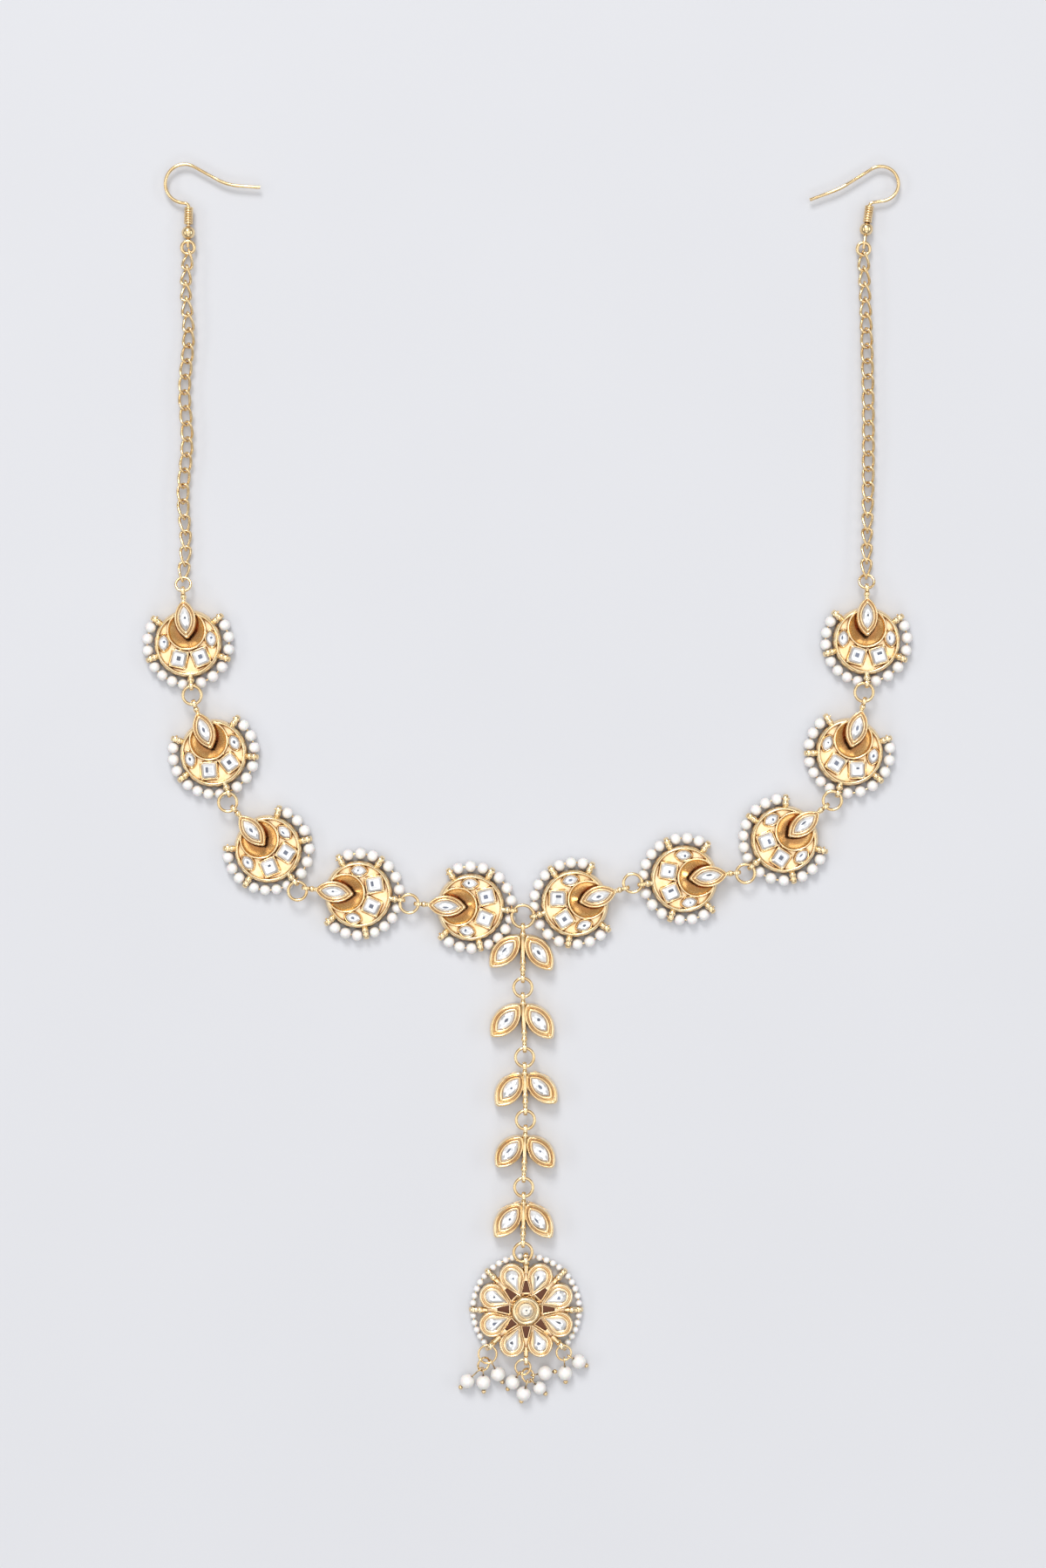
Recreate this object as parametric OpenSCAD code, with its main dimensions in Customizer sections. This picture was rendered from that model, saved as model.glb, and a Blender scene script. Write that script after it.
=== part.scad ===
/* [Crescent station] */
// Radius of the round setting
disc_r = 6.85; // [6.7:0.05:6.95]
// Radius of the dished hollow in it
mouth_r = 3.65; // [3.4:0.05:3.7]
// How far the hollow sits above the middle
mouth_rise = 2.7; // [2.5:0.05:2.75]
// Height of the recessed face
face_h = 2.2; // [1.9:0.05:2.4]
// Height of the rims round it
rim_h = 3.1; // [2.9:0.05:3.4]
// Distance from the middle to the ring's wire in the foot
foot_reach = 8.8; // [8.7:0.05:9.1]
// Distance from the middle to the ring's wire in the bail
bail_reach = 10.85; // [10.7:0.05:11.3]
// Length of the marquise collet
marquise_l = 7.9; // [7.4:0.1:8.2]
// Width of the marquise collet
marquise_w = 4.3; // [4:0.1:4.6]
// Height of the middle of the marquise collet above the middle
marquise_rise = 5.05; // [4.9:0.05:5.2]
// Width of a square stone
square_w = 2.9; // [2.6:0.05:3]
// Length of a square stone
square_l = 3.1; // [2.9:0.05:3.2]
// Width of a side stone
side_w = 2; // [1.7:0.05:2.1]
// Length of a side stone
side_l = 3.1; // [2.8:0.05:3.3]

/* [Strings] */
// Diameter of the pearls on the rims
rim_pearl_d = 2.25; // [2:0.05:2.25]
// Radius of the circle that the rim pearls follow
string_r = 8.45; // [8.4:0.05:8.55]
// Diameter of the seed beads round the flower
seed_d = 1.45; // [1.3:0.05:1.5]
// Diameter of the stringing wire
string_wire = 0.4; // [0.3:0.05:0.45]

/* [Jump rings] */
// Radius of a ring at the middle of its wire
ring_r = 1.9; // [1.85:0.05:2]
// Diameter of the ring wire
ring_wire = 0.64; // [0.6:0.01:0.66]
// Radius of the ring in the middle of the band
hub_r = 2.3; // [2.2:0.05:2.4]
// Radius of the rings below the chains
end_ring_r = 1.55; // [1.5:0.05:1.65]
// Height of the rings above the table
ring_z = 2.65; // [2.6:0.05:2.75]

/* [Chains] */
// Distance from link to link, before it is fitted to the length
link_pitch = 3.2; // [3.15:0.01:3.25]
// Diameter of the link wire
link_wire = 0.62; // [0.55:0.01:0.64]
// Half the length of a link at the middle of its wire
link_a = 2; // [1.95:0.01:2.05]
// Half the width of a link at the middle of its wire
link_b = 1.08; // [1.05:0.01:1.15]

/* [Ear hooks] */
// Diameter of the hook wire
hook_wire = 0.7; // [0.65:0.05:0.8]
// Diameter of the ball on the hook
ball_d = 2.75; // [2.6:0.05:2.85]
// Radius of the loop that holds the chain
loop_r = 1.3; // [1.25:0.05:1.35]

/* [Leaf links] */
// Height of the leaf collets
leaf_h = 3.2; // [3:0.05:3.4]
// Length of a leaf stone
leaf_stone_l = 5; // [4.6:0.1:5.4]
// Width of a leaf stone
leaf_stone_w = 2.5; // [2.2:0.05:2.6]

/* [Flower] */
// Distance from the middle to the round end of a petal
petal_r = 7.6; // [7.5:0.05:7.65]
// Radius of the round end of a petal
petal_end = 2.6; // [2.5:0.05:2.6]
// Distance from the round end's middle to the petal's point
petal_point = 4.5; // [4.3:0.05:4.6]
// Radius of the round end of a petal's stone
petal_stone_end = 1.3; // [1.2:0.05:1.35]
// Distance from the round end's middle to the stone's point
petal_stone_point = 3.3; // [3.1:0.05:3.4]
// Radius of the circle that the seed beads follow
seed_r = 11; // [10.95:0.05:11.1]
// Height of the collet in the middle
centre_h = 4.2; // [3.8:0.1:4.6]

/* [Hanging pearls] */
// Diameter of the pearls under the flower
drop_pearl_d = 3.1; // [2.9:0.05:3.1]
// Diameter of the head pin wire
pin_wire = 0.32; // [0.28:0.01:0.36]
// Diameter of the ball on the head pin
pin_head = 0.96; // [0.8:0.02:1.1]

/* [Hidden] */
$fn = 40;
GOLD = [0.93, 0.76, 0.42];
STONE = [0.86, 0.9, 0.96];
PEARL = [0.95, 0.93, 0.9];
WHITE = [0.98, 0.98, 0.98];

// Middle of the centre ring, seen from above, with the object's middle at the origin.
hub = [-0.93, -27.4];

// Gaps and walls shared by all settings.
fit = 0.06;
lip = 0.3;
bezel = 0.4;
cell_wall = 0.2;
groove_depth = 0.5;

// Lugs: rounded lumps with a slot that a ring passes through.
lug_r = 1;
lug_t = 0.84;
slot_half = 0.78;
slot_rise = 0.42;
bar_t = 0.84;
peg_t = 1.1;
bead_r = 0.64;
peg_bead_r = 0.72;
dish_edge = 1.55;
hollow_floor = 0.45;
tip_cut = 0.3;
eye_r = string_wire / 2 + 0.12;
string_z = rim_pearl_d / 2 + 0.02;
seed_z = 0.95;

// The band, from the centre ring outwards. HEADING is the way from foot to bail, counted from +X;
// TURN_IN and TURN_OUT are how far the rings before and after stand off that line.
HEADING = 0;
TURN_IN = 1;
TURN_OUT = 2;
LEFT_BAND = [[176, -27, 3], [173, -18, 24], [130, -26, 3], [111, -26, -7], [95, 0, -5]];
RIGHT_BAND = [[17, -16, 17], [7, -15, -12], [39, 11, 2], [74, -21, 17], [90, -18, 0]];
PEG_ANGLES = [35, 139, 197.5, 334];
FOOT_ANGLE = 270;
// Pearls between one eye and the next, going round from the upper left peg.
STRING_STOPS = [139, 197.5, 270, 334, 395];

// The drop strand, from the centre ring down.
LINK_L = 0;
LINK_TURN = 1;
LEFT_TURN = 2;
RIGHT_TURN = 3;
LEAF_L = 4;
LEAF_W = 5;
LEAN = 6;
LEAF_LINKS = [
    [10.5, 0, 43, 37, 9.3, 5.1, 0],
    [10.6, 2, 44, 36, 9.2, 5.2, 0.1],
    [9.1, 1, 40, 44, 8.7, 5.2, 0.5],
    [10.1, -2, 39, 42, 8.5, 5, 0.1],
    [9.6, -1, 37, 38, 9, 5, 0.4]
];
FLOWER_TURN = 20;
flower_bail = 10.2;
cluster_reach = 10.35;

// Ear hooks: turn at the top of the coil, lead, big bend, run, eased bend and straight tip.
BEND = 0;
LEAD = 1;
LOOP_R = 2;
LOOP_TURN = 3;
RUN = 4;
EASE_R = 5;
EASE_TURN = 6;
TIP = 7;
SHANK = 8;
BALL_Y = 9;
LEFT_HOOK = [82, 0.8, 4, 200, 5.4, 11, 25, 4.3, 8.3, 3.05];
RIGHT_HOOK = [74, 2.2, 3.6, 204, 5.9, 18, 12, 4.6, 9, 4.1];
left_loop = [-70.13, 110.7];
right_loop = [69.47, 110.4];
hook_z = ball_d / 2 + 0.02;
left_lean = -1;
right_lean = -8;
coil_wire = 0.54;
coil_r = hook_wire / 2 + 0.05 + coil_wire / 2;
coil_turns = 7;
coil_pitch = 0.5;

// Chains: sway to the side, waves of it, and how the links roll from one end to the other.
left_sway = 0.35;
left_waves = 3;
right_sway = 0.7;
right_waves = 0.5;
roll_end = 40;
roll_wave = 14;
link_twist = 50;
link_corner = 0.8;
link_steps = 12;
link_sides = 6;
link_bite = 0.8;
end_tilt = asin((ring_z - hook_z) / (2 * end_ring_r));

// Outlines of collets and stones.
LENS = 0;
PEAR = 1;
SQUARE_X = 2.26;
SQUARE_Y = -3.05;
SQUARE_TURN = 17;
SIDE_X = 4.9;
SIDE_Y = 0.5;
SIDE_TURN = 5;
squares_shift = 0.2;

// Flower: where the seed wire's eyes are, and the lugs that carry a ring.
WIRE_PEGS = [-45, 0, 45, 90, 135, 180, 225];
RING_LUGS = [90, 225, 270, 315];

// Rings of the clusters, from the middle of the flower: place, radius, way they lean and how far.
RING_X = 0;
RING_Y = 1;
RING_R = 2;
RING_AIM = 3;
RING_TILT = 4;
RING_Z = 5;
cluster_wire = 0.46;
CLUSTER_RINGS = [
    [-7.95, -9.05, 1.85, 0, 0, 2.6],
    [-8.75, -11.1, 1.4, 249, -38, 2.5],
    [-0.65, -11.75, 1.55, 0, 0, 2.6],
    [0.35, -13.45, 1.4, 300, -38, 2.5],
    [7.8, -8.75, 1.5, 0, 0, 2.6]
];
// Head pins: middle of the pearl, how much smaller it is than the rest, and the ring that holds it.
PEARL_X = 0;
PEARL_Y = 1;
PEARL_LESS = 2;
PIN_RING = 3;
pin_loop_r = 0.56;
HEAD_PINS = [
    [-12.15, -14.75, 0, 1],
    [-8.8, -15, 0, 1],
    [-5.8, -13.3, 0, 0],
    [-2.75, -14.95, 0, 2],
    [-0.5, -17.35, 0, 3],
    [3.95, -13.1, 0, 3],
    [2.8, -16.2, 0.3, 3],
    [8.06, -13.1, 0, 4],
    [10.9, -10.7, 0, 4]
];

function dir(a) = [cos(a), sin(a)];
function lift(p, z) = [p[0], p[1], z];

function foot(rows, i) =
    let (way = dir(rows[i][HEADING] + rows[i][TURN_IN]))
    i == 0 ? hub + hub_r * way : ring_mid(rows, i - 1) + ring_r * way;
function disc(rows, i) = foot(rows, i) + foot_reach * dir(rows[i][HEADING]);
function bail(rows, i) = disc(rows, i) + bail_reach * dir(rows[i][HEADING]);
function out_r(rows, i) = i < len(rows) - 1 ? ring_r : end_ring_r * cos(end_tilt);
function ring_mid(rows, i) = bail(rows, i) + out_r(rows, i) * dir(rows[i][HEADING] + rows[i][TURN_OUT]);
function chain_start(rows) = ring_mid(rows, len(rows) - 1) + [0, end_ring_r * cos(end_tilt)];

function rows_of(n) = n <= 5 ? LEFT_BAND : RIGHT_BAND;
function row_of(n) = n <= 5 ? 5 - n : n - 6;

function link_top(i) =
    i == 0 ? hub + hub_r * dir(-90) : drop_ring(i - 1) + ring_r * dir(-90);
function link_foot(i) = link_top(i) + LEAF_LINKS[i][LINK_L] * dir(LEAF_LINKS[i][LINK_TURN] - 90);
function drop_ring(i) = link_foot(i) + ring_r * dir(-90);
function flower_mid() = drop_ring(len(LEAF_LINKS) - 1) + ring_r * dir(FLOWER_TURN - 90) + flower_bail * dir(-90);

// A lens of length l and width w is where two circles of radius lens_r meet.
function lens_r(l, w) = (l * l + w * w) / (4 * w);
function lens_points(l, w, n) =
    let (r = lens_r(l, w), off = r - w / 2, a = asin(l / 2 / r), k = n / 2)
    concat(
        [for (i = [0 : k - 1]) let (t = -a + 2 * a * i / k) [r * cos(t) - off, r * sin(t)]],
        [for (i = [0 : k - 1]) let (t = a - 2 * a * i / k) [off - r * cos(t), r * sin(t)]]
    );
// A pear has its round end at the origin and its point at -Y.
function pear_points(r, c, n) =
    let (b = acos(r / c), k = n - 2)
    concat([for (i = [0 : k]) let (t = -90 + b + (360 - 2 * b) * i / k) r * dir(t)], [[0, -c]]);
function round_points(r, n) = [for (i = [0 : n - 1]) r * dir(360 * i / n)];
function clipped_square(w, l, c) = [
    [w / 2, c - l / 2], [w / 2, l / 2 - c], [w / 2 - c, l / 2], [c - w / 2, l / 2],
    [-w / 2, l / 2 - c], [-w / 2, c - l / 2], [c - w / 2, -l / 2], [w / 2 - c, -l / 2]
];
function middles(o) = [for (i = [0 : len(o) - 1]) (o[i] + o[(i + 1) % len(o)]) / 2];
function level(o, s, z) = [for (p = o) [p[0] * s, p[1] * s, z]];

// A link of a curb chain: a loop round the origin along Y, twisted from one end to the other.
function link_mid(t) =
    let (c = cos(t), x = link_b * sign(c) * pow(abs(c), link_corner), y = link_a * sin(t), f = link_twist * sin(t))
    [x * cos(f), y, x * sin(f)];
function unit(v) = v / norm(v);
function link_ring(t) =
    let (
        p = link_mid(t),
        along = unit(link_mid(t + 2) - link_mid(t - 2)),
        out = unit(p - (p * along) * along),
        side = cross(along, out)
    )
    [for (k = [0 : link_sides - 1]) let (a = 360 * (k + 0.5) / link_sides)
        p + link_wire / 2 * (cos(a) * out + sin(a) * side)];
function link_angle(i) = 360 * (i + 0.5) / link_steps;

function chain_count(rows, loop) =
    round((norm(chain_end(loop) - chain_start(rows)) - 2 * (link_a - link_bite)) / link_pitch) + 1;
function chain_end(loop) = loop + [0, -loop_r];
function chain_point(rows, loop, u, sway, waves) =
    let (
        p = chain_start(rows),
        q = chain_end(loop),
        way = unit(q - p),
        lead = link_a - link_bite,
        s = lead + u * (norm(q - p) - 2 * lead)
    )
    p + s * way + [sway * sin(360 * waves * u), 0];

// The ring's point at angle a, seen from above, with its height.
function ring_point(row, a) =
    let (
        aim = row[RING_AIM],
        u = row[RING_R] * cos(a - aim),
        v = row[RING_R] * sin(a - aim) * cos(row[RING_TILT])
    )
    [
        row[RING_X] + u * cos(aim) - v * sin(aim),
        row[RING_Y] + u * sin(aim) + v * cos(aim),
        row[RING_Z] + row[RING_R] * sin(a - aim) * sin(row[RING_TILT])
    ];

function pearl_d(row) = drop_pearl_d - row[PEARL_LESS];
function pearl_mid(row) = [row[PEARL_X], row[PEARL_Y], pearl_d(row) / 2 + 0.02];
function pin_hold(row) =
    let (ring = CLUSTER_RINGS[row[PIN_RING]])
    ring_point(ring, atan2(row[PEARL_Y] - ring[RING_Y], row[PEARL_X] - ring[RING_X]));
function pin_way(row) = unit(pearl_mid(row) - pin_hold(row));

module torus(r, wire) {
    rotate_extrude() translate([r, 0]) circle(d = wire);
}

module outline(kind, l, w, grow) {
    if (kind == LENS) {
        r = lens_r(l, w);
        intersection() {
            translate([w / 2 - r, 0]) circle(r = r + grow, $fn = 120);
            translate([r - w / 2, 0]) circle(r = r + grow, $fn = 120);
        }
    } else {
        // l is the distance to the point and w the radius of the round end
        r = w + grow;
        c = l + grow * l / w;
        b = acos(r / c);
        union() {
            circle(r = r);
            polygon([[0, -c], 0.985 * r * dir(b - 90), 0.985 * r * dir(270 - b)]);
        }
    }
}

// A cup with an outer bezel, a groove and an inner lip round its stone.
module collet(kind, size, stone, base, top) {
    difference() {
        union() {
            translate([0, 0, base]) linear_extrude(top - 0.25 - base) outline(kind, size[0], size[1], 0);
            translate([0, 0, top - 1]) linear_extrude(1) intersection() {
                outline(kind, stone[0], stone[1], fit + lip);
                if (kind == PEAR) outline(kind, size[0], size[1], -bezel);
                else square(4 * size[0], center = true);
            }
        }
        translate([0, 0, top - 0.25 - groove_depth]) linear_extrude(1) difference() {
            outline(kind, size[0], size[1], -bezel);
            outline(kind, stone[0], stone[1], fit + lip);
        }
        translate([0, 0, top - 0.9]) linear_extrude(1) outline(kind, stone[0], stone[1], fit);
    }
}

// A cut stone: straight girdle, a crown of triangles and a flat table.
module cut_stone(o, base, girdle, table, spread) {
    n = len(o);
    polyhedron(
        points = concat(level(o, 1, base), level(o, 1, girdle), level(middles(o), spread, table)),
        faces = concat(
            [[for (i = [0 : n - 1]) i]],
            [for (i = [0 : n - 1]) [i, n + i, n + (i + 1) % n, (i + 1) % n]],
            [for (i = [0 : n - 1]) [n + i, 2 * n + i, n + (i + 1) % n]],
            [for (i = [0 : n - 1]) [2 * n + i, 2 * n + (i + 1) % n, n + (i + 1) % n]],
            [[for (i = [0 : n - 1]) 3 * n - 1 - i]]
        )
    );
}

// A round lump with flat sides, on +X at the given distance and height.
module lug(reach, z, r, t) {
    translate([reach, 0, z]) intersection() {
        sphere(r = r);
        cube([3 * r, t, 3 * r], center = true);
    }
}

module slot(reach) {
    translate([reach, 0, ring_z]) rotate([90, 0, 0]) linear_extrude(3, center = true) union() {
        square([2 * (slot_half - slot_rise), 2 * slot_rise], center = true);
        for (s = [-1, 1]) translate([s * (slot_half - slot_rise), 0]) circle(r = slot_rise);
    }
}

module wire_eye(reach, z) {
    translate([reach, 0, z]) rotate([90, 0, 0]) cylinder(r = eye_r, h = 3, center = true);
}

// A bar on +X with a rounded head along its top.
module bar(from, to, low, high, t) {
    translate([from, 0, 0]) rotate([90, 0, 90]) linear_extrude(to - from) union() {
        translate([-t / 2, low]) square([t, high - low]);
        translate([0, high]) circle(d = t + 0.14);
    }
}

module peg() {
    difference() {
        union() {
            bar(6.4, 8.3, 0.7, 1.9, peg_t);
            lug(8.35, 1.5, 1.05, peg_t);
            translate([7.45, 0, 2.05]) sphere(r = peg_bead_r);
        }
        wire_eye(string_r, string_z);
    }
}

module crescent_foot() {
    difference() {
        union() {
            bar(6.4, 8.4, 0.6, 2.7, bar_t);
            lug(8.35, 1.35, 0.95, 0.96);
            lug(foot_reach, ring_z, lug_r, lug_t);
            translate([7.58, 0, 2.72]) sphere(r = peg_bead_r);
        }
        wire_eye(string_r, string_z);
        slot(foot_reach);
    }
}

// A turned stem along +X with beads on it and a lug at its end.
module stem(from, reach, beads) {
    l = reach - from - 0.4;
    translate([from, 0, ring_z]) rotate([0, 90, 0]) rotate_extrude() intersection() {
        union() {
            square([0.48, l]);
            for (b = beads) translate([0, b - from]) circle(r = bead_r);
        }
        square([2, l]);
    }
    lug(reach, ring_z, lug_r, lug_t);
}

module cell(o_l, o_w, kind) {
    translate([0, 0, face_h - 0.2]) linear_extrude(0.95) difference() {
        if (kind == LENS) outline(LENS, o_l, o_w, fit + cell_wall);
        else square([o_w + 2 * (fit + cell_wall), o_l + 2 * (fit + cell_wall)], center = true);
        if (kind == LENS) outline(LENS, o_l, o_w, fit);
        else square([o_w + 2 * fit, o_l + 2 * fit], center = true);
    }
}

// Puts one thing at each square stone's place, then another at each side stone's.
module at_squares() {
    for (s = [-1, 1])
        translate([squares_shift + s * SQUARE_X, SQUARE_Y, 0]) rotate(s * SQUARE_TURN) children();
}

module at_sides() {
    for (s = [-1, 1]) translate([s * SIDE_X, SIDE_Y, 0]) rotate(s * SIDE_TURN) children();
}

module crescent_plate() {
    deep = dish_edge - hollow_floor;
    dish_r = (mouth_r * mouth_r + deep * deep) / (2 * deep);
    difference() {
        rotate_extrude($fn = 96) polygon([
            [0, 0], [disc_r - 0.1, 0], [disc_r + 0.2, 0.35], [disc_r + 0.25, 0.9], [disc_r + 0.12, 1.8],
            [disc_r - 0.12, rim_h - 0.45], [disc_r - 0.3, rim_h - 0.12], [disc_r - 0.5, rim_h],
            [disc_r - 0.7, rim_h - 0.12], [disc_r - 0.82, rim_h - 0.4], [disc_r - 0.82, face_h], [0, face_h]
        ]);
        translate([0, mouth_rise, hollow_floor]) rotate_extrude($fn = 72) intersection() {
            square([mouth_r, 9]);
            translate([0, dish_r]) circle(r = dish_r, $fn = 180);
        }
    }
    translate([0, mouth_rise, 0]) rotate_extrude($fn = 72) polygon([
        [mouth_r - 0.05, 0.2], [mouth_r + 0.45, 0.2], [mouth_r + 0.45, rim_h - 0.2], [mouth_r + 0.32, rim_h - 0.03],
        [mouth_r + 0.12, rim_h - 0.03], [mouth_r - 0.05, rim_h - 0.25]
    ]);
}

module station(n) {
    p = disc(rows_of(n), row_of(n));
    translate(lift(p, 0)) rotate(rows_of(n)[row_of(n)][HEADING] - 90) children();
}

module crescent(n) {
    color(GOLD) station(n) difference() {
        union() {
            crescent_plate();
            at_squares() cell(square_l, square_w, PEAR);
            at_sides() cell(side_l, side_w, LENS);
            for (a = PEG_ANGLES) rotate(a) peg();
            rotate(FOOT_ANGLE) crescent_foot();
            translate([0, marquise_rise, 0]) collet(LENS, [marquise_l, marquise_w], [5.1, 2.3], 1.6, 4.2);
            rotate(90) stem(8.2, bail_reach, [9.65]);
        }
        rotate(90) slot(bail_reach);
    }
}

module crescent_stones(n) {
    color(STONE) station(n) {
        at_squares()
            cut_stone(clipped_square(square_w, square_l, 0.3), face_h + 0.03, face_h + 0.75, face_h + 1.2, 0.72);
        at_sides()
            cut_stone(lens_points(side_l, side_w, 10), face_h + 0.03, face_h + 0.75, face_h + 1.1, 0.66);
        translate([0, marquise_rise, 0]) cut_stone(lens_points(5.1, 2.3, 12), 3.33, 4.15, 4.6, 0.6);
    }
}

// Wire through the eyes with the pearls on it, as round bars from eye to eye.
module pearl_string(n) {
    color(PEARL) station(n) translate([0, 0, string_z]) {
        rotate(STRING_STOPS[0] - 6) rotate_extrude(angle = STRING_STOPS[4] - STRING_STOPS[0] + 12, $fn = 96)
            translate([string_r, 0]) circle(d = string_wire);
        for (i = [0 : 3]) {
            gap = asin((peg_t / 2 + 0.29) / string_r);
            rotate(STRING_STOPS[i] + gap)
                rotate_extrude(angle = STRING_STOPS[i + 1] - STRING_STOPS[i] - 2 * gap, $fn = 96)
                    translate([string_r, 0]) circle(d = rim_pearl_d);
        }
    }
}

module flat_ring(p) {
    translate(lift(p, ring_z)) torus(ring_r, ring_wire);
}

module band_rings(rows) {
    color(GOLD) {
        for (i = [0 : len(rows) - 2]) flat_ring(ring_mid(rows, i));
        translate(lift(ring_mid(rows, len(rows) - 1), (ring_z + hook_z) / 2)) rotate([-end_tilt, 0, 0])
            torus(end_ring_r, ring_wire - 0.1);
    }
}

module centre_ring() {
    color(GOLD) translate(lift(hub, ring_z)) torus(hub_r, ring_wire);
}

module drop_rings() {
    color(GOLD) for (i = [0 : len(LEAF_LINKS) - 1]) flat_ring(drop_ring(i));
}

// A leaf: base and collet, blunt at the tips.
module leaf(row, lean) {
    l = row[LEAF_L];
    w = row[LEAF_W];
    intersection() {
        union() {
            translate([0, 0, 0.2]) linear_extrude(1.6) outline(LENS, l, w, 0);
            translate([0, lean, 0])
                collet(LENS, [l - 0.5, w - 0.4], [leaf_stone_l, leaf_stone_w], 1.2, leaf_h);
        }
        translate([-w, tip_cut - l / 2, 0]) cube([2 * w, l - 2 * tip_cut, 9]);
    }
}

// Puts one thing at the left leaf's place and at the right one's, its long axis along Y.
module at_leaves(row) {
    for (s = [-1, 1]) {
        turn = s < 0 ? row[LEFT_TURN] : row[RIGHT_TURN];
        translate([s * 0.5, -1.5, 0]) rotate(s * turn) translate([0, -row[LEAF_L] / 2, 0]) children();
    }
}

module on_link(i) {
    translate(lift(link_top(i), 0)) rotate(LEAF_LINKS[i][LINK_TURN]) children();
}

module leaf_link(i) {
    row = LEAF_LINKS[i];
    l = row[LINK_L];
    color(GOLD) on_link(i) difference() {
        union() {
            rotate(90) stem(-l + 0.4, 0, [1.75 - l, 3.2 - l, -1.35]);
            rotate(-90) lug(l, ring_z, lug_r, lug_t);
            rotate(-90) bar(1.7, l - 1.5, 0.5, 2.4, bar_t);
            at_leaves(row) leaf(row, row[LEAN]);
        }
        rotate(90) slot(0);
        rotate(-90) slot(l);
    }
}

// The first leaf link lies over the pearls beside it, so its back is cut away there.
module first_leaf_link() {
    color(GOLD) difference() {
        leaf_link(0);
        station(5) translate([0, 0, string_z]) rotate_extrude($fn = 96)
            translate([string_r, 0]) circle(d = rim_pearl_d + 0.2);
    }
}

module leaf_stones() {
    color(STONE) for (i = [0 : len(LEAF_LINKS) - 1]) on_link(i) at_leaves(LEAF_LINKS[i])
        translate([0, LEAF_LINKS[i][LEAN], 0])
            cut_stone(lens_points(leaf_stone_l, leaf_stone_w, 12), leaf_h - 0.87, leaf_h - 0.05, leaf_h + 0.35, 0.6);
}

module at_petals() {
    for (k = [0 : 7]) rotate(22.5 + 45 * k) translate([0, petal_r, 0]) children();
}

module flower() {
    color(GOLD) translate(lift(flower_mid(), 0)) {
        difference() {
            union() {
                cylinder(r = 8.8, h = 1.4, $fn = 96);
                at_petals()
                    collet(PEAR, [petal_point, petal_end], [petal_stone_point, petal_stone_end], 0.35, 3.1);
                for (a = WIRE_PEGS) rotate(a) {
                    bar(8, 10.6, 0.5, 1.75, 0.96);
                    lug(10.85, 1.25, 0.98, 0.96);
                    translate([9.5, 0, 1.95]) sphere(r = peg_bead_r);
                }
                for (a = RING_LUGS) rotate(a) {
                    bar(7.6, 9.7, 0.55, 2.35, bar_t);
                    lug(a == 90 ? flower_bail : cluster_reach, ring_z, lug_r, lug_t);
                }
                rotate_extrude($fn = 72) polygon([
                    [0, 0.4], [3.3, 0.4], [3.3, 1.9], [3.2, centre_h - 1.3], [3, centre_h - 0.6],
                    [2.75, centre_h - 0.15], [2.5, centre_h], [2.25, centre_h - 0.08], [2, centre_h - 0.4],
                    [1.75, centre_h - 0.72], [1.62, centre_h - 0.72], [1.62, centre_h - 1], [0, centre_h - 1]
                ]);
            }
            for (k = [0 : 7]) rotate(45 * k) translate([0, 0, hollow_floor]) linear_extrude(9)
                polygon([[3.5, -0.85], [3.5, 0.85], [5.9, 0.3], [5.9, -0.3]]);
            for (a = WIRE_PEGS) rotate(a) wire_eye(seed_r, seed_z);
            for (a = RING_LUGS) rotate(a) slot(a == 90 ? flower_bail : cluster_reach);
        }
    }
}

module petal_stones() {
    color(STONE) translate(lift(flower_mid(), 0)) at_petals()
        cut_stone(pear_points(petal_stone_end, petal_stone_point, 12), 2.23, 3.05, 3.4, 0.62);
}

module centre_stone() {
    color(STONE) translate(lift(flower_mid(), centre_h - 0.97))
        cut_stone(round_points(1.55, 16), 0, 0.3, 1, 0.5);
}

// Wire round the flower with the seed beads on it, as round bars from eye to eye.
module seed_bead_string() {
    color(WHITE) translate(lift(flower_mid(), seed_z)) {
        rotate(WIRE_PEGS[0] - 4) rotate_extrude(angle = 278, $fn = 96)
            translate([seed_r, 0]) circle(d = string_wire);
        for (a = [0 : 5]) rotate(WIRE_PEGS[a] + 3.4) rotate_extrude(angle = 45 - 6.8, $fn = 96)
            translate([seed_r, 0]) circle(d = seed_d);
    }
}

module cluster_rings() {
    color(GOLD) translate(lift(flower_mid(), 0)) for (row = CLUSTER_RINGS)
        translate([row[RING_X], row[RING_Y], row[RING_Z]]) rotate([0, 0, row[RING_AIM]])
            rotate([row[RING_TILT], 0, 0]) torus(row[RING_R], cluster_wire);
}

// Puts a thing at the pearl's middle with +X along its pin, away from the ring.
module on_pin(row) {
    way = pin_way(row);
    translate(pearl_mid(row)) rotate([0, -asin(way[2]), atan2(way[1], way[0])]) children();
}

module head_pin(row) {
    r = pearl_d(row) / 2;
    reach = norm(pearl_mid(row) - pin_hold(row));
    on_pin(row) {
        translate([-reach, 0, 0]) rotate([90, 0, 0]) torus(pin_loop_r, pin_wire);
        translate([pin_loop_r - reach, 0, 0]) rotate([0, 90, 0])
            cylinder(d = pin_wire - 0.02, h = reach - pin_loop_r + r + 0.2);
        translate([r + pin_head / 2 + 0.02, 0, 0]) sphere(d = pin_head);
    }
}

module head_pins() {
    color(GOLD) translate(lift(flower_mid(), 0)) for (row = HEAD_PINS) head_pin(row);
}

module hanging_pearls() {
    color(PEARL) translate(lift(flower_mid(), 0)) for (row = HEAD_PINS) on_pin(row) rotate([0, 90, 0])
        rotate_extrude() difference() {
            circle(d = pearl_d(row));
            translate([-4, -4]) square([4 + pin_wire / 2 + 0.12, 8]);
        }
}

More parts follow.
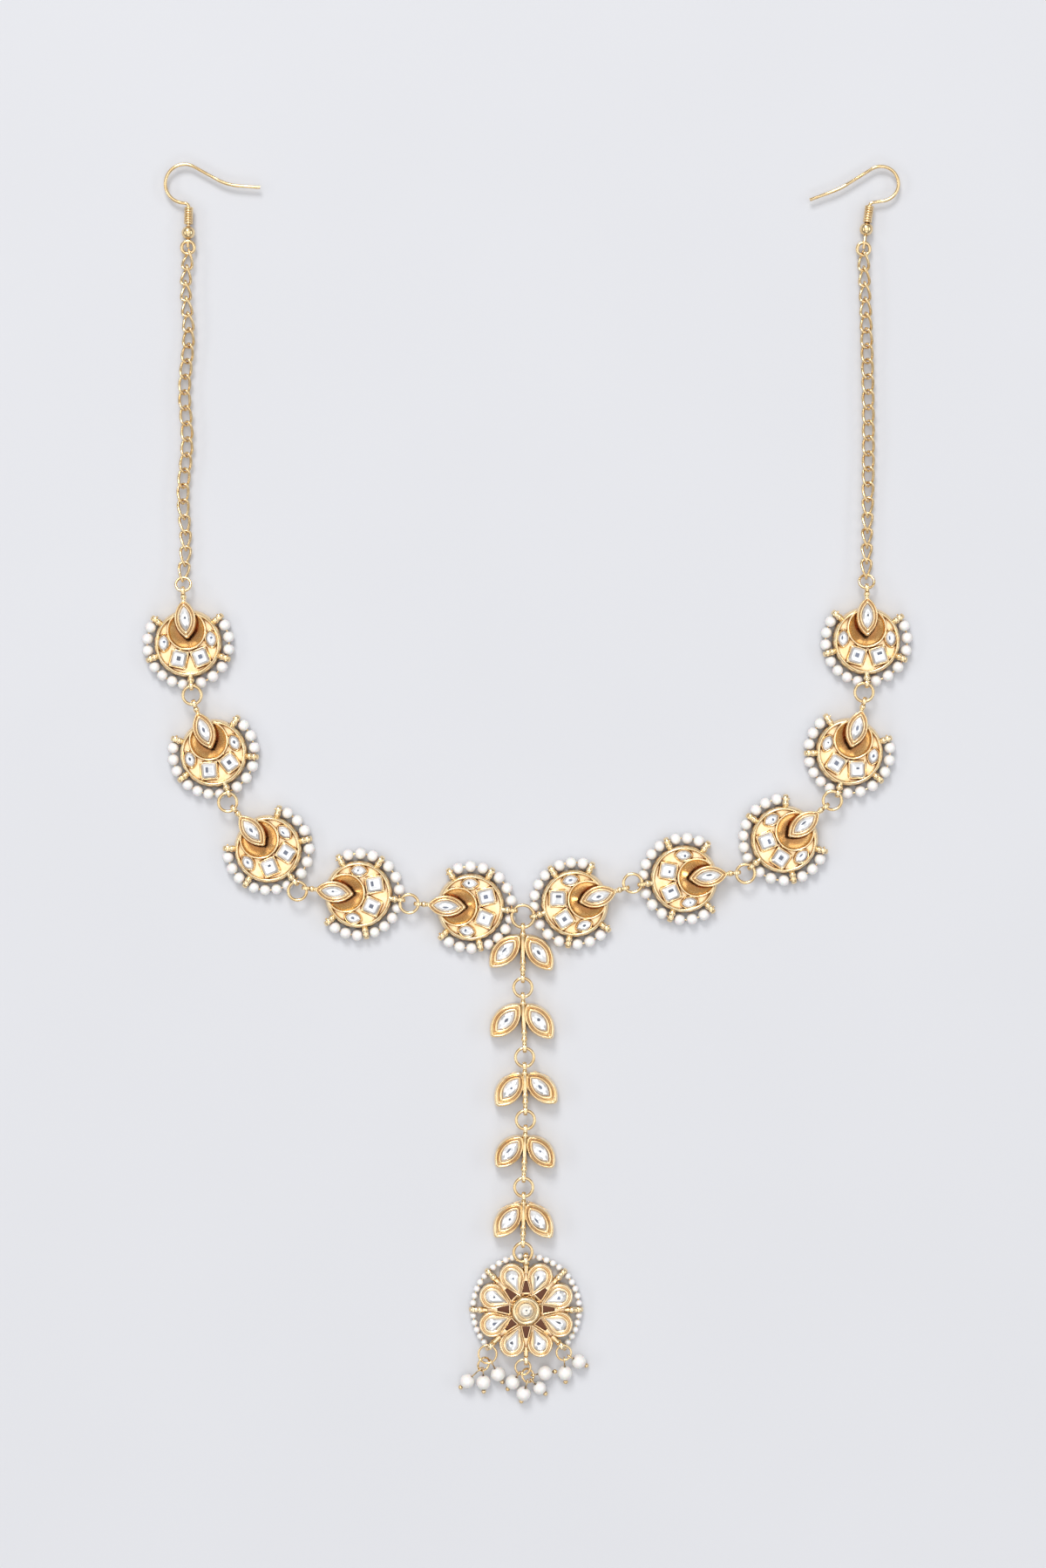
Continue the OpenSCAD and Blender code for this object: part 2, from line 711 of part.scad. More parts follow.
module curb_link() {
    n = link_sides;
    m = link_steps;
    polyhedron(
        points = [for (i = [0 : m - 1]) each link_ring(link_angle(i))],
        faces = [for (i = [0 : m - 1]) for (k = [0 : n - 1])
            let (a = i * n + k, b = i * n + (k + 1) % n, c = (i + 1) % m * n + k, d = (i + 1) % m * n + (k + 1) % n)
            each [[a, b, d], [a, d, c]]],
        convexity = 4
    );
}

module chain(rows, loop, sway, waves) {
    count = chain_count(rows, loop);
    color(GOLD) for (i = [0 : count - 1]) {
        u = i / (count - 1);
        p = chain_point(rows, loop, u, sway, waves);
        way = chain_point(rows, loop, u + 0.01, sway, waves) - chain_point(rows, loop, u - 0.01, sway, waves);
        translate(lift(p, hook_z)) rotate(atan2(way[1], way[0]) - 90)
            rotate([0, roll_end - 2 * roll_end * u + roll_wave * sin(720 * u), 0]) curb_link();
    }
}

// A bend to the left of the way +X, from the origin; what follows starts at its end.
module bend(r, a, wire) {
    translate([0, r, 0]) rotate(-90) rotate_extrude(angle = a) translate([r, 0]) circle(d = wire);
    translate([r * sin(a), r - r * cos(a), 0]) rotate(a) children();
}

module straight(l, wire) {
    translate([-0.1, 0, 0]) rotate([0, 90, 0]) cylinder(d = wire - 0.04, h = l + 0.2);
    translate([l, 0, 0]) children();
}

module on_hook(loop, lean) {
    translate(lift(loop, hook_z)) rotate(lean) children();
}

// The hook wire: chain loop, shank, turn, big bend, run and tip; drawn for the left side.
module ear_hook(row) {
    torus(loop_r, hook_wire);
    rotate([-90, 0, 0]) cylinder(d = hook_wire - 0.06, h = row[SHANK]);
    translate([0, row[SHANK], 0]) rotate(90)
        bend(0.8, row[BEND], hook_wire)
        straight(row[LEAD], hook_wire)
        mirror([0, 1, 0]) bend(row[LOOP_R], row[LOOP_TURN], hook_wire)
        straight(row[RUN], hook_wire)
        mirror([0, 1, 0]) bend(row[EASE_R], row[EASE_TURN], hook_wire)
        straight(row[TIP], hook_wire);
}

module hook_coil(row) {
    translate([0, row[SHANK] - coil_turns * coil_pitch, 0]) rotate([-90, 0, 0]) rotate_extrude()
        for (i = [0 : coil_turns - 1]) translate([coil_r, coil_pitch * (i + 0.5)]) circle(d = coil_wire);
}

module hook_ball(row) {
    translate([0, row[BALL_Y], 0]) difference() {
        sphere(d = ball_d);
        rotate([90, 0, 0]) cylinder(d = hook_wire + 0.1, h = ball_d + 1, center = true);
    }
}

module left_ear_hook() {
    color(GOLD) on_hook(left_loop, left_lean) ear_hook(LEFT_HOOK);
}

module right_ear_hook() {
    color(GOLD) on_hook(right_loop, right_lean) mirror([1, 0, 0]) ear_hook(RIGHT_HOOK);
}

module left_hook_coil() {
    color(GOLD) on_hook(left_loop, left_lean) hook_coil(LEFT_HOOK);
}

module right_hook_coil() {
    color(GOLD) on_hook(right_loop, right_lean) hook_coil(RIGHT_HOOK);
}

module left_hook_ball() {
    color(GOLD) on_hook(left_loop, left_lean) hook_ball(LEFT_HOOK);
}

module right_hook_ball() {
    color(GOLD) on_hook(right_loop, right_lean) hook_ball(RIGHT_HOOK);
}

module left_chain() {
    chain(LEFT_BAND, left_loop, left_sway, left_waves);
}

module right_chain() {
    chain(RIGHT_BAND, right_loop, right_sway, right_waves);
}

left_ear_hook();
right_ear_hook();
left_hook_coil();
right_hook_coil();
left_hook_ball();
right_hook_ball();
left_chain();
right_chain();
band_rings(LEFT_BAND);  // left_rings
band_rings(RIGHT_BAND);  // right_rings
centre_ring();
drop_rings();
crescent(1);  // crescent_1
crescent(2);  // crescent_2
crescent(3);  // crescent_3
crescent(4);  // crescent_4
crescent(5);  // crescent_5
crescent(6);  // crescent_6
crescent(7);  // crescent_7
crescent(8);  // crescent_8
crescent(9);  // crescent_9
crescent(10);  // crescent_10
crescent_stones(1);  // crescent_stones_1
crescent_stones(2);  // crescent_stones_2
crescent_stones(3);  // crescent_stones_3
crescent_stones(4);  // crescent_stones_4
crescent_stones(5);  // crescent_stones_5
crescent_stones(6);  // crescent_stones_6
crescent_stones(7);  // crescent_stones_7
crescent_stones(8);  // crescent_stones_8
crescent_stones(9);  // crescent_stones_9
crescent_stones(10);  // crescent_stones_10
pearl_string(1);  // pearl_string_1
pearl_string(2);  // pearl_string_2
pearl_string(3);  // pearl_string_3
pearl_string(4);  // pearl_string_4
pearl_string(5);  // pearl_string_5
pearl_string(6);  // pearl_string_6
pearl_string(7);  // pearl_string_7
pearl_string(8);  // pearl_string_8
pearl_string(9);  // pearl_string_9
pearl_string(10);  // pearl_string_10
first_leaf_link();  // leaf_link_1
leaf_link(1);  // leaf_link_2
leaf_link(2);  // leaf_link_3
leaf_link(3);  // leaf_link_4
leaf_link(4);  // leaf_link_5
leaf_stones();
flower();
petal_stones();
centre_stone();
seed_bead_string();
cluster_rings();
head_pins();
hanging_pearls();
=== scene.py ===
"""Looks of a matha patti laid flat: crescents with pearl rims, leaf pairs and a flower drop.

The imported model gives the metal. This script adds what is finer than metal work: strung pearls
and seed beads, cut stones and curb chain links, then every finish, the floor, lights and camera.
Sizes are in millimetres and turn into metres where a mesh is made.
"""

import logging
import math
import random
from dataclasses import dataclass, field
from enum import Enum
from typing import Callable, Sequence

import bpy
from mathutils import Matrix, Vector

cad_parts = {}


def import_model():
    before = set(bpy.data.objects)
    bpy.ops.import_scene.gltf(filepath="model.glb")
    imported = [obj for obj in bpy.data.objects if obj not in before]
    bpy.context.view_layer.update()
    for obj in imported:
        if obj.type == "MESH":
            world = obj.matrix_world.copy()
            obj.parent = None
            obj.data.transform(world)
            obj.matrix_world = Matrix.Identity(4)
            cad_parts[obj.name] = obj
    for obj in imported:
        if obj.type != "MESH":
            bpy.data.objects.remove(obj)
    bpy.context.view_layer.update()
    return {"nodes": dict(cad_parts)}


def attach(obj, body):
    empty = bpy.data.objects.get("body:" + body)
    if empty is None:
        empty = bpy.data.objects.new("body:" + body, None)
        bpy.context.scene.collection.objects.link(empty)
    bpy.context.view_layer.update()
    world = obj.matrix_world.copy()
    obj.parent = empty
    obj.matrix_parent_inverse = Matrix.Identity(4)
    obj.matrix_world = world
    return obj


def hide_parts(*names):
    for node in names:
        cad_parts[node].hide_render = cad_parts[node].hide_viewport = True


LOG = logging.getLogger("matha_patti")
MM = 0.001
Colour = tuple[float, float, float]
Flat = tuple[float, float]
Piece = bpy.types.Object
Source = bpy.types.NodeSocket


# Layout: where every piece lies


def way(angle: float) -> Vector:
    """Unit vector on the table at an angle in degrees from +X."""
    return Vector((math.cos(math.radians(angle)), math.sin(math.radians(angle))))


@dataclass(frozen=True)
class BandRow:
    """One crescent of the band: its heading from foot to bail and how the rings stand off it."""

    heading: float
    turn_in: float
    turn_out: float


@dataclass(frozen=True)
class LeafRow:
    """One leaf-pair link: its length and turn, the turn of each leaf and the leaf's size."""

    length: float
    turn: float
    left: float
    right: float
    leaf_l: float
    leaf_w: float
    lean: float


@dataclass(frozen=True)
class Layout:
    """Where everything lies on the table, worked out from the ring in the middle of the band."""

    hub: Flat = (-0.93, -27.4)
    hub_r: float = 2.3
    ring_r: float = 1.9
    end_ring_r: float = 1.55
    foot_reach: float = 8.8
    bail_reach: float = 10.85
    ring_z: float = 2.65
    hook_z: float = 1.395
    loop_r: float = 1.3
    left_loop: Flat = (-70.13, 110.7)
    right_loop: Flat = (69.47, 110.4)
    flower_turn: float = 20
    flower_bail: float = 10.2
    left_band: tuple[BandRow, ...] = (
        BandRow(176, -27, 3),
        BandRow(173, -18, 24),
        BandRow(130, -26, 3),
        BandRow(111, -26, -7),
        BandRow(95, 0, -5),
    )
    right_band: tuple[BandRow, ...] = (
        BandRow(17, -16, 17),
        BandRow(7, -15, -12),
        BandRow(39, 11, 2),
        BandRow(74, -21, 17),
        BandRow(90, -18, 0),
    )
    leaves: tuple[LeafRow, ...] = (
        LeafRow(10.5, 0, 43, 37, 9.3, 5.1, 0),
        LeafRow(10.6, 2, 44, 36, 9.2, 5.2, 0.1),
        LeafRow(9.1, 1, 40, 44, 8.7, 5.2, 0.5),
        LeafRow(10.1, -2, 39, 42, 8.5, 5, 0.1),
        LeafRow(9.6, -1, 37, 38, 9, 5, 0.4),
    )

    def end_lean(self) -> float:
        """Lean in degrees of the ring between the last crescent and its chain."""
        return math.degrees(math.asin((self.ring_z - self.hook_z) / (2 * self.end_ring_r)))

    def ring_mid(self, rows: Sequence[BandRow], i: int) -> Vector:
        """Middle of the ring after crescent i of one side, counted from the centre ring.

        Args:
            rows: The side's crescents, from the centre ring outwards.
            i: The crescent's place in the rows.

        Returns:
            The ring's middle in millimetres.
        """
        row = rows[i]
        last = i == len(rows) - 1
        out = self.end_ring_r * math.cos(math.radians(self.end_lean())) if last else self.ring_r
        bail = self.disc(rows, i) + self.bail_reach * way(row.heading)
        return bail + out * way(row.heading + row.turn_out)

    def disc(self, rows: Sequence[BandRow], i: int) -> Vector:
        """Middle of crescent i of one side.

        Args:
            rows: The side's crescents, from the centre ring outwards.
            i: The crescent's place in the rows.

        Returns:
            The crescent's middle in millimetres.
        """
        row = rows[i]
        towards = way(row.heading + row.turn_in)
        if i == 0:
            foot = Vector(self.hub) + self.hub_r * towards
        else:
            foot = self.ring_mid(rows, i - 1) + self.ring_r * towards
        return foot + self.foot_reach * way(row.heading)

    def station(self, number: int) -> Matrix:
        """Placement of crescent 1 to 10, left to right, with +Y from foot to bail.

        Args:
            number: The crescent's number, counted from the left end.

        Returns:
            The placement in metres.
        """
        rows = self.left_band if number <= 5 else self.right_band
        i = 5 - number if number <= 5 else number - 6
        return placed(self.disc(rows, i), rows[i].heading - 90)

    def link_top(self, i: int) -> Vector:
        """Point where leaf link i hangs in the ring above it.

        Args:
            i: The link's place in the strand, from the top.

        Returns:
            The point in millimetres.
        """
        if i == 0:
            return Vector(self.hub) + self.hub_r * way(-90)
        return self.drop_ring(i - 1) + self.ring_r * way(-90)

    def drop_ring(self, i: int) -> Vector:
        """Middle of the ring below leaf link i."""
        row = self.leaves[i]
        return self.link_top(i) + row.length * way(row.turn - 90) + self.ring_r * way(-90)

    def flower(self) -> Vector:
        """Middle of the flower."""
        ring = self.drop_ring(len(self.leaves) - 1)
        return ring + self.ring_r * way(self.flower_turn - 90) + self.flower_bail * way(-90)

    def chain_ends(self, left: bool) -> tuple[Vector, Vector]:
        """Where a chain starts in its ring and ends in its hook's loop.

        Args:
            left: Whether it is the chain on the left.

        Returns:
            The start and the end in millimetres.
        """
        rows = self.left_band if left else self.right_band
        lift = self.end_ring_r * math.cos(math.radians(self.end_lean()))
        start = self.ring_mid(rows, len(rows) - 1) + Vector((0, lift))
        loop = Vector(self.left_loop if left else self.right_loop)
        return start, loop - Vector((0, self.loop_r))


def placed(spot: Vector | Flat, turn: float = 0.0, z: float = 0.0) -> Matrix:
    """Placement in metres at a spot in millimetres, turned about +Z by degrees."""
    shift = Matrix.Translation(Vector((spot[0], spot[1], z)) * MM)
    return shift @ Matrix.Rotation(math.radians(turn), 4, "Z")


# Bench: the modelling operators


class Bench:
    """The modelling operators, each used on nothing but what it is given."""

    @staticmethod
    def clear() -> None:
        """Leaves edit mode and deselects everything."""
        if bpy.context.object and bpy.context.object.mode != "OBJECT":
            bpy.ops.object.mode_set(mode="OBJECT")
        bpy.ops.object.select_all(action="DESELECT")

    @staticmethod
    def hold(*pieces: Piece) -> None:
        """Selects these pieces alone and makes the first one active.

        Args:
            *pieces: The pieces, the active one first.
        """
        Bench.clear()
        for piece in pieces:
            piece.select_set(True)
        bpy.context.view_layer.objects.active = pieces[0]

    @staticmethod
    def pick(piece: Piece, test: Callable[[Vector, Vector], bool]) -> None:
        """Opens a piece in edit mode with some of its faces selected.

        Args:
            piece: The piece to open.
            test: Says from a face's middle and normal whether it is taken.
        """
        Bench.hold(piece)
        bpy.ops.object.mode_set(mode="EDIT")
        bpy.ops.mesh.select_mode(type="FACE")
        bpy.ops.mesh.select_all(action="DESELECT")
        bpy.ops.object.mode_set(mode="OBJECT")
        for face in piece.data.polygons:
            face.select = test(face.center, face.normal)
        bpy.ops.object.mode_set(mode="EDIT")

    @staticmethod
    def settle(piece: Piece) -> Piece:
        """Puts a piece's place, turn and size into its mesh.

        Args:
            piece: The piece.

        Returns:
            The same piece.
        """
        Bench.hold(piece)
        bpy.ops.object.transform_apply(location=True, rotation=True, scale=True)
        return piece

    @staticmethod
    def close(piece: Piece, angle: float = 40) -> Piece:
        """Points the faces outwards and shades the piece smooth below an angle in degrees.

        Args:
            piece: The piece.
            angle: Edges that turn more than this many degrees stay sharp.

        Returns:
            The same piece.
        """
        Bench.hold(piece)
        bpy.ops.object.mode_set(mode="EDIT")
        bpy.ops.mesh.select_all(action="SELECT")
        bpy.ops.mesh.normals_make_consistent(inside=False)
        bpy.ops.object.mode_set(mode="OBJECT")
        bpy.ops.object.shade_smooth_by_angle(angle=math.radians(angle))
        return piece

    @staticmethod
    def plate(outline: Sequence[Flat], height: float) -> Piece:
        """A flat face with an outline in millimetres, at a height above the table.

        Args:
            outline: The face's corners in order.
            height: The face's height.

        Returns:
            The face as a new piece.
        """
        Bench.clear()
        bpy.ops.mesh.primitive_circle_add(
            vertices=len(outline), radius=MM, fill_type="NGON", location=(0, 0, height * MM)
        )
        plate = Bench.settle(bpy.context.object)
        for vertex, (x, y) in zip(plate.data.vertices, outline):
            vertex.co = Vector((x, y, height)) * MM
        return plate

    @staticmethod
    def copy(piece: Piece, matrix: Matrix) -> Piece:
        """Copy of a piece with a mesh of its own, placed in that mesh.

        Args:
            piece: The piece.
            matrix: Where the copy lies, from where the piece lies.

        Returns:
            The copy.
        """
        twin = piece.copy()
        twin.data = piece.data.copy()
        twin.data.transform(matrix)
        bpy.context.scene.collection.objects.link(twin)
        return twin

    @staticmethod
    def join(pieces: Sequence[Piece], name: str) -> Piece:
        """Joins pieces into one and names it.

        Args:
            pieces: The pieces to join.
            name: The name of the whole.

        Returns:
            The joined piece.
        """
        Bench.hold(*pieces)
        bpy.ops.object.join()
        whole = bpy.context.object
        whole.name = name
        whole.data.name = name
        return whole

    @staticmethod
    def scrap(*pieces: Piece) -> None:
        """Removes pieces that were only patterns for copies."""
        for piece in pieces:
            bpy.data.objects.remove(piece)

    @staticmethod
    def hand_over(piece: Piece, finish: "Finish", slot: str, *nodes: str) -> Piece:
        """Finishes a piece and ties it to the model.

        Args:
            piece: The finished mesh.
            finish: What it is covered with.
            slot: Name of a material slot; not used.
            *nodes: The model's nodes that it stands for.

        Returns:
            The same piece.
        """
        piece.data.materials.clear()
        piece.data.materials.append(finish.material())
        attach(piece, "root")
        if nodes:
            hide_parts(*nodes)
        LOG.info("piece %s: %d faces", piece.name, len(piece.data.polygons))
        return piece


# Finishes


def fill_ramp(ramp: bpy.types.ColorRamp, stops: Sequence[tuple[float, Colour]]) -> None:
    """Gives a colour ramp its stops, each a place from 0 to 1 and a colour.

    Args:
        ramp: The ramp to fill.
        stops: The stops in order.
    """
    while len(ramp.elements) < len(stops):
        ramp.elements.new(0.5)
    for element, (at, colour) in zip(ramp.elements, stops):
        element.position = at
        element.color = (*colour, 1)


class Sketch:
    """A material's node tree while it is drawn."""

    def __init__(self, name: str) -> None:
        """Starts an empty tree with a surface shader and its output.

        Args:
            name: The material's name.
        """
        self.mat = bpy.data.materials.new(name)
        self.mat.use_nodes = True
        self.tree = self.mat.node_tree
        self.tree.nodes.clear()
        self.skin = self.add("BsdfPrincipled")
        self.link(self.skin.outputs[0], self.add("OutputMaterial").inputs["Surface"])
        spots = self.add("TexCoord")
        self.place, self.facing = spots.outputs["Object"], spots.outputs["Normal"]

    def add(self, kind: str) -> bpy.types.ShaderNode:
        """A new shader node of a kind."""
        return self.tree.nodes.new(f"ShaderNode{kind}")

    def link(self, source: Source, target: Source) -> None:
        """Joins two sockets."""
        self.tree.links.new(source, target)

    def set(self, **values: float) -> None:
        """Sets constant shader sockets, with _ for a space in their names."""
        for name, value in values.items():
            self.skin.inputs[name.replace("_", " ")].default_value = value

    def noise(self, grain_mm: float, detail: float = 2, rough: float = 0.5) -> Source:
        """Noise with grains of about that many millimetres.

        Args:
            grain_mm: Size of a grain.
            detail: How many finer layers the noise has.
            rough: How strong the finer layers are.

        Returns:
            The noise's value, round 0.5.
        """
        node = self.add("TexNoise")
        node.inputs["Scale"].default_value = 1 / (grain_mm * MM)
        node.inputs["Detail"].default_value = detail
        node.inputs["Roughness"].default_value = rough
        self.link(self.place, node.inputs["Vector"])
        return node.outputs["Fac"]

    def ramp(self, source: Source, *stops: tuple[float, Colour]) -> Source:
        """Colours between stops, read by a value from 0 to 1.

        Args:
            source: The value that reads the colours.
            *stops: The stops in order.

        Returns:
            The colour.
        """
        node = self.add("ValToRGB")
        fill_ramp(node.color_ramp, stops)
        self.link(source, node.inputs["Fac"])
        return node.outputs["Color"]

    def spread(self, source: Source, low: float, high: float) -> Source:
        """Maps the middle of a noise to a range of values.

        Args:
            source: The noise.
            low: The value where the noise is low.
            high: The value where the noise is high.

        Returns:
            The value in its new range.
        """
        node = self.add("MapRange")
        node.inputs["From Min"].default_value = 0.3
        node.inputs["From Max"].default_value = 0.7
        node.inputs["To Min"].default_value = low
        node.inputs["To Max"].default_value = high
        self.link(source, node.inputs["Value"])
        return node.outputs["Result"]

    def mix(self, share: Source, first: Source | Colour, second: Source) -> Source:
        """Mixes two colours by a share. The first one may be a plain colour.

        Args:
            share: How much of the second colour shows, from 0 to 1.
            first: The first colour.
            second: The second colour.

        Returns:
            The mixed colour.
        """
        node = self.mixer("MIX", second)
        self.link(share, node.inputs["Factor"])
        if isinstance(first, tuple):
            node.inputs["A"].default_value = (*first, 1)
        else:
            self.link(first, node.inputs["A"])
        return node.outputs["Result"]

    def tinted(self, colour: Source, tint: Source) -> Source:
        """Multiplies one colour by another.

        Args:
            colour: The colour to tint.
            tint: The colour that it is tinted with.

        Returns:
            The tinted colour.
        """
        node = self.mixer("MULTIPLY", tint)
        node.inputs["Factor"].default_value = 1
        self.link(colour, node.inputs["A"])
        return node.outputs["Result"]

    def mixer(self, how: str, second: Source) -> bpy.types.ShaderNodeMix:
        """A node that blends colours in one way, with its second colour linked.

        Args:
            how: The way of blending, as Blender names it.
            second: The second colour.

        Returns:
            The node, with its first colour and its share still free.
        """
        node = self.add("Mix")
        node.data_type = "RGBA"
        node.blend_type = how
        self.link(second, node.inputs["B"])
        return node

    def height_share(self, low_mm: float, high_mm: float) -> Source:
        """Share from 0 to 1 between two heights above the table, and 1 on all that doesn't face up.

        Args:
            low_mm: The height where the share is 0.
            high_mm: The height where the share is 1.

        Returns:
            The share.
        """
        faces_up, faces_aside = 0.6, 0.2
        heights, slants = (low_mm * MM, high_mm * MM), (faces_up, faces_aside)
        shares = []
        for source, limits in ((self.place, heights), (self.facing, slants)):
            split = self.add("SeparateXYZ")
            span = self.add("MapRange")
            span.inputs["From Min"].default_value, span.inputs["From Max"].default_value = limits
            self.link(source, split.inputs[0])
            self.link(split.outputs["Z"], span.inputs["Value"])
            shares.append(span.outputs["Result"])
        most = self.add("Math")
        most.operation = "MAXIMUM"
        self.link(shares[0], most.inputs[0])
        self.link(shares[1], most.inputs[1])
        return most.outputs[0]

    def hollows(self, reach_mm: float) -> Source:
        """How open the surface lies, from 0 deep in a groove to 1.

        Args:
            reach_mm: How far off a groove's walls still count.

        Returns:
            The openness.
        """
        node = self.add("AmbientOcclusion")
        node.samples = 6
        node.inputs["Distance"].default_value = reach_mm * MM
        return node.outputs["AO"]

    def bumps(self, *layers: tuple[Source, float, float]) -> None:
        """Stacks bumps, each a height source, its strength and its depth in millimetres.

        Args:
            *layers: The bumps, the lowest first.
        """
        last = None
        for source, strength, depth in layers:
            node = self.add("Bump")
            node.inputs["Strength"].default_value = strength
            node.inputs["Distance"].default_value = depth * MM
            self.link(source, node.inputs["Height"])
            if last:
                self.link(last, node.inputs["Normal"])
            last = node.outputs["Normal"]
        self.link(last, self.skin.inputs["Normal"])


@dataclass(frozen=True)
class Finish:
    """What a piece is covered with. Each finish draws its material once."""

    name: str

    def material(self) -> bpy.types.Material:
        """The finish's material, drawn on first use."""
        return bpy.data.materials.get(self.name) or self.draw(Sketch(self.name))

    def draw(self, sketch: Sketch) -> bpy.types.Material:
        """Draws the material's nodes."""
        raise NotImplementedError


@dataclass(frozen=True)
class GoldPlate(Finish):
    """Bright gold plating over a casting or wire, with painted shade: dark brown in grooves and hollows,
    browner on low faces.

    What faces up between two given heights turns, towards the lower one, to a painted shade colour for low
    recesses.
    """

    pale: Colour = (1.0, 0.80, 0.50)
    warm: Colour = (0.96, 0.70, 0.37)
    # painted shade colour for grooves and hollows
    deep: Colour = (0.30, 0.12, 0.05)
    rough: tuple[float, float] = (0.14, 0.3)
    broad_mm: float = 1.7
    fine_mm: float = 0.22
    ripple: float = 0.05
    pit: float = 0.012
    reach: float = 0.9
    shut_to: float = 0.12
    open_from: float = 0.66
    # painted shade colour for low recesses, and the heights over which it fades out
    low_shade: Colour = (0.33, 0.14, 0.06)
    low_shade_z: tuple[float, float] | None = None

    def draw(self, sketch: Sketch) -> bpy.types.Material:
        """Draws the plating.

        Args:
            sketch: The material's tree, with nothing but its surface shader.

        Returns:
            The finished material.
        """
        broad = sketch.noise(self.broad_mm, 2)
        fine = sketch.noise(self.fine_mm, 3, 0.6)
        tone = sketch.ramp(broad, (0.36, self.warm), (0.62, self.pale))
        # painted shade: the tone turns to dark brown where ambient occlusion finds a groove or hollow
        hollows = sketch.hollows(self.reach)
        unshaded_share = sketch.ramp(hollows, (self.shut_to, (0, 0, 0)), (self.open_from, (1, 1, 1)))
        colour = sketch.mix(unshaded_share, self.deep, tone)
        # painted shade on upward faces that lie low, the bottoms of recesses
        if self.low_shade_z:
            colour = sketch.mix(sketch.height_share(*self.low_shade_z), self.low_shade, colour)
        sketch.link(colour, sketch.skin.inputs["Base Color"])
        sketch.link(sketch.spread(fine, *self.rough), sketch.skin.inputs["Roughness"])
        sketch.bumps((broad, 0.6, self.ripple), (fine, 0.5, self.pit))
        sketch.set(Metallic=1.0, Coat_Weight=0.25, Coat_Roughness=0.06)
        return sketch.mat


@dataclass(frozen=True)
class CutGlass(Finish):
    """Foil-backed cut glass: each facet carries its own painted light or dark reflection in the attribute
    facet.
    """

    tint: Colour = (1.0, 1.0, 1.0)
    dull: float = 0.86
    cloud_mm: float = 0.8

    def draw(self, sketch: Sketch) -> bpy.types.Material:
        """Draws the glass over its foil.

        Args:
            sketch: The material's tree, with nothing but its surface shader.

        Returns:
            The finished material.
        """
        facet = sketch.add("Attribute")
        facet.attribute_name = "facet"
        cloud = sketch.noise(self.cloud_mm, 2)
        haze = sketch.ramp(cloud, (0.35, self.tint), (0.7, tuple(self.dull * c for c in self.tint)))
        colour = sketch.tinted(facet.outputs["Color"], haze)
        sketch.link(colour, sketch.skin.inputs["Base Color"])
        sketch.link(sketch.spread(cloud, 0.02, 0.07), sketch.skin.inputs["Roughness"])
        sketch.set(Metallic=0.3, IOR=1.6, Coat_Weight=1.0, Coat_Roughness=0.02)
        return sketch.mat


@dataclass(frozen=True)
class PearlLustre(Finish):
    """Pearl coating: milky, slightly uneven, with a soft bright sheen and painted grey shade towards its
    outline.
    """

    milk: Colour = (0.97, 0.96, 0.94)
    shade: Colour = (0.91, 0.89, 0.86)
    # painted shade: greyer colours for where the surface turns away at the outline
    rim: tuple[Colour, Colour] = ((0.60, 0.565, 0.54), (0.70, 0.665, 0.62))
    rim_shade_width: float = 0.5
    cloud_mm: float = 1.3
    skin_mm: float = 0.18
    rough: tuple[float, float] = (0.16, 0.3)

    def draw(self, sketch: Sketch) -> bpy.types.Material:
        """Draws the lustre.

        Args:
            sketch: The material's tree, with nothing but its surface shader.

        Returns:
            The finished material.
        """
        cloud = sketch.noise(self.cloud_mm, 3)
        skin = sketch.noise(self.skin_mm, 2)
        # painted shade: the colour greys towards the outline, by facing
        edge = sketch.add("LayerWeight")
        edge.inputs["Blend"].default_value = self.rim_shade_width
        body = sketch.ramp(cloud, (0.3, self.shade), (0.62, self.milk))
        rim = sketch.ramp(cloud, (0.3, self.rim[0]), (0.7, self.rim[1]))
        sketch.link(sketch.mix(edge.outputs["Facing"], body, rim), sketch.skin.inputs["Base Color"])
        sketch.link(sketch.spread(skin, *self.rough), sketch.skin.inputs["Roughness"])
        sketch.bumps((skin, 0.25, 0.008))
        sketch.set(Coat_Weight=0.6, Coat_Roughness=0.1, Subsurface_Weight=0.15, Subsurface_Scale=0.0006)
        return sketch.mat


@dataclass(frozen=True)
class Tabletop(Finish):
    """Smooth pale board that the ornament lies on."""

    tone: Colour = (0.676, 0.683, 0.711)
    uneven: float = 0.985
    cloud_mm: float = 60
    tooth_mm: float = 0.5

    def draw(self, sketch: Sketch) -> bpy.types.Material:
        """Draws the board.

        Args:
            sketch: The material's tree, with nothing but its surface shader.

        Returns:
            The finished material.
        """
        cloud = sketch.noise(self.cloud_mm, 2)
        tooth = sketch.noise(self.tooth_mm, 3)
        low = tuple(self.uneven * c for c in self.tone)
        sketch.link(sketch.ramp(cloud, (0.3, low), (0.7, self.tone)), sketch.skin.inputs["Base Color"])
        sketch.link(sketch.spread(tooth, 0.62, 0.75), sketch.skin.inputs["Roughness"])
        sketch.bumps((tooth, 0.1, 0.01))
        return sketch.mat


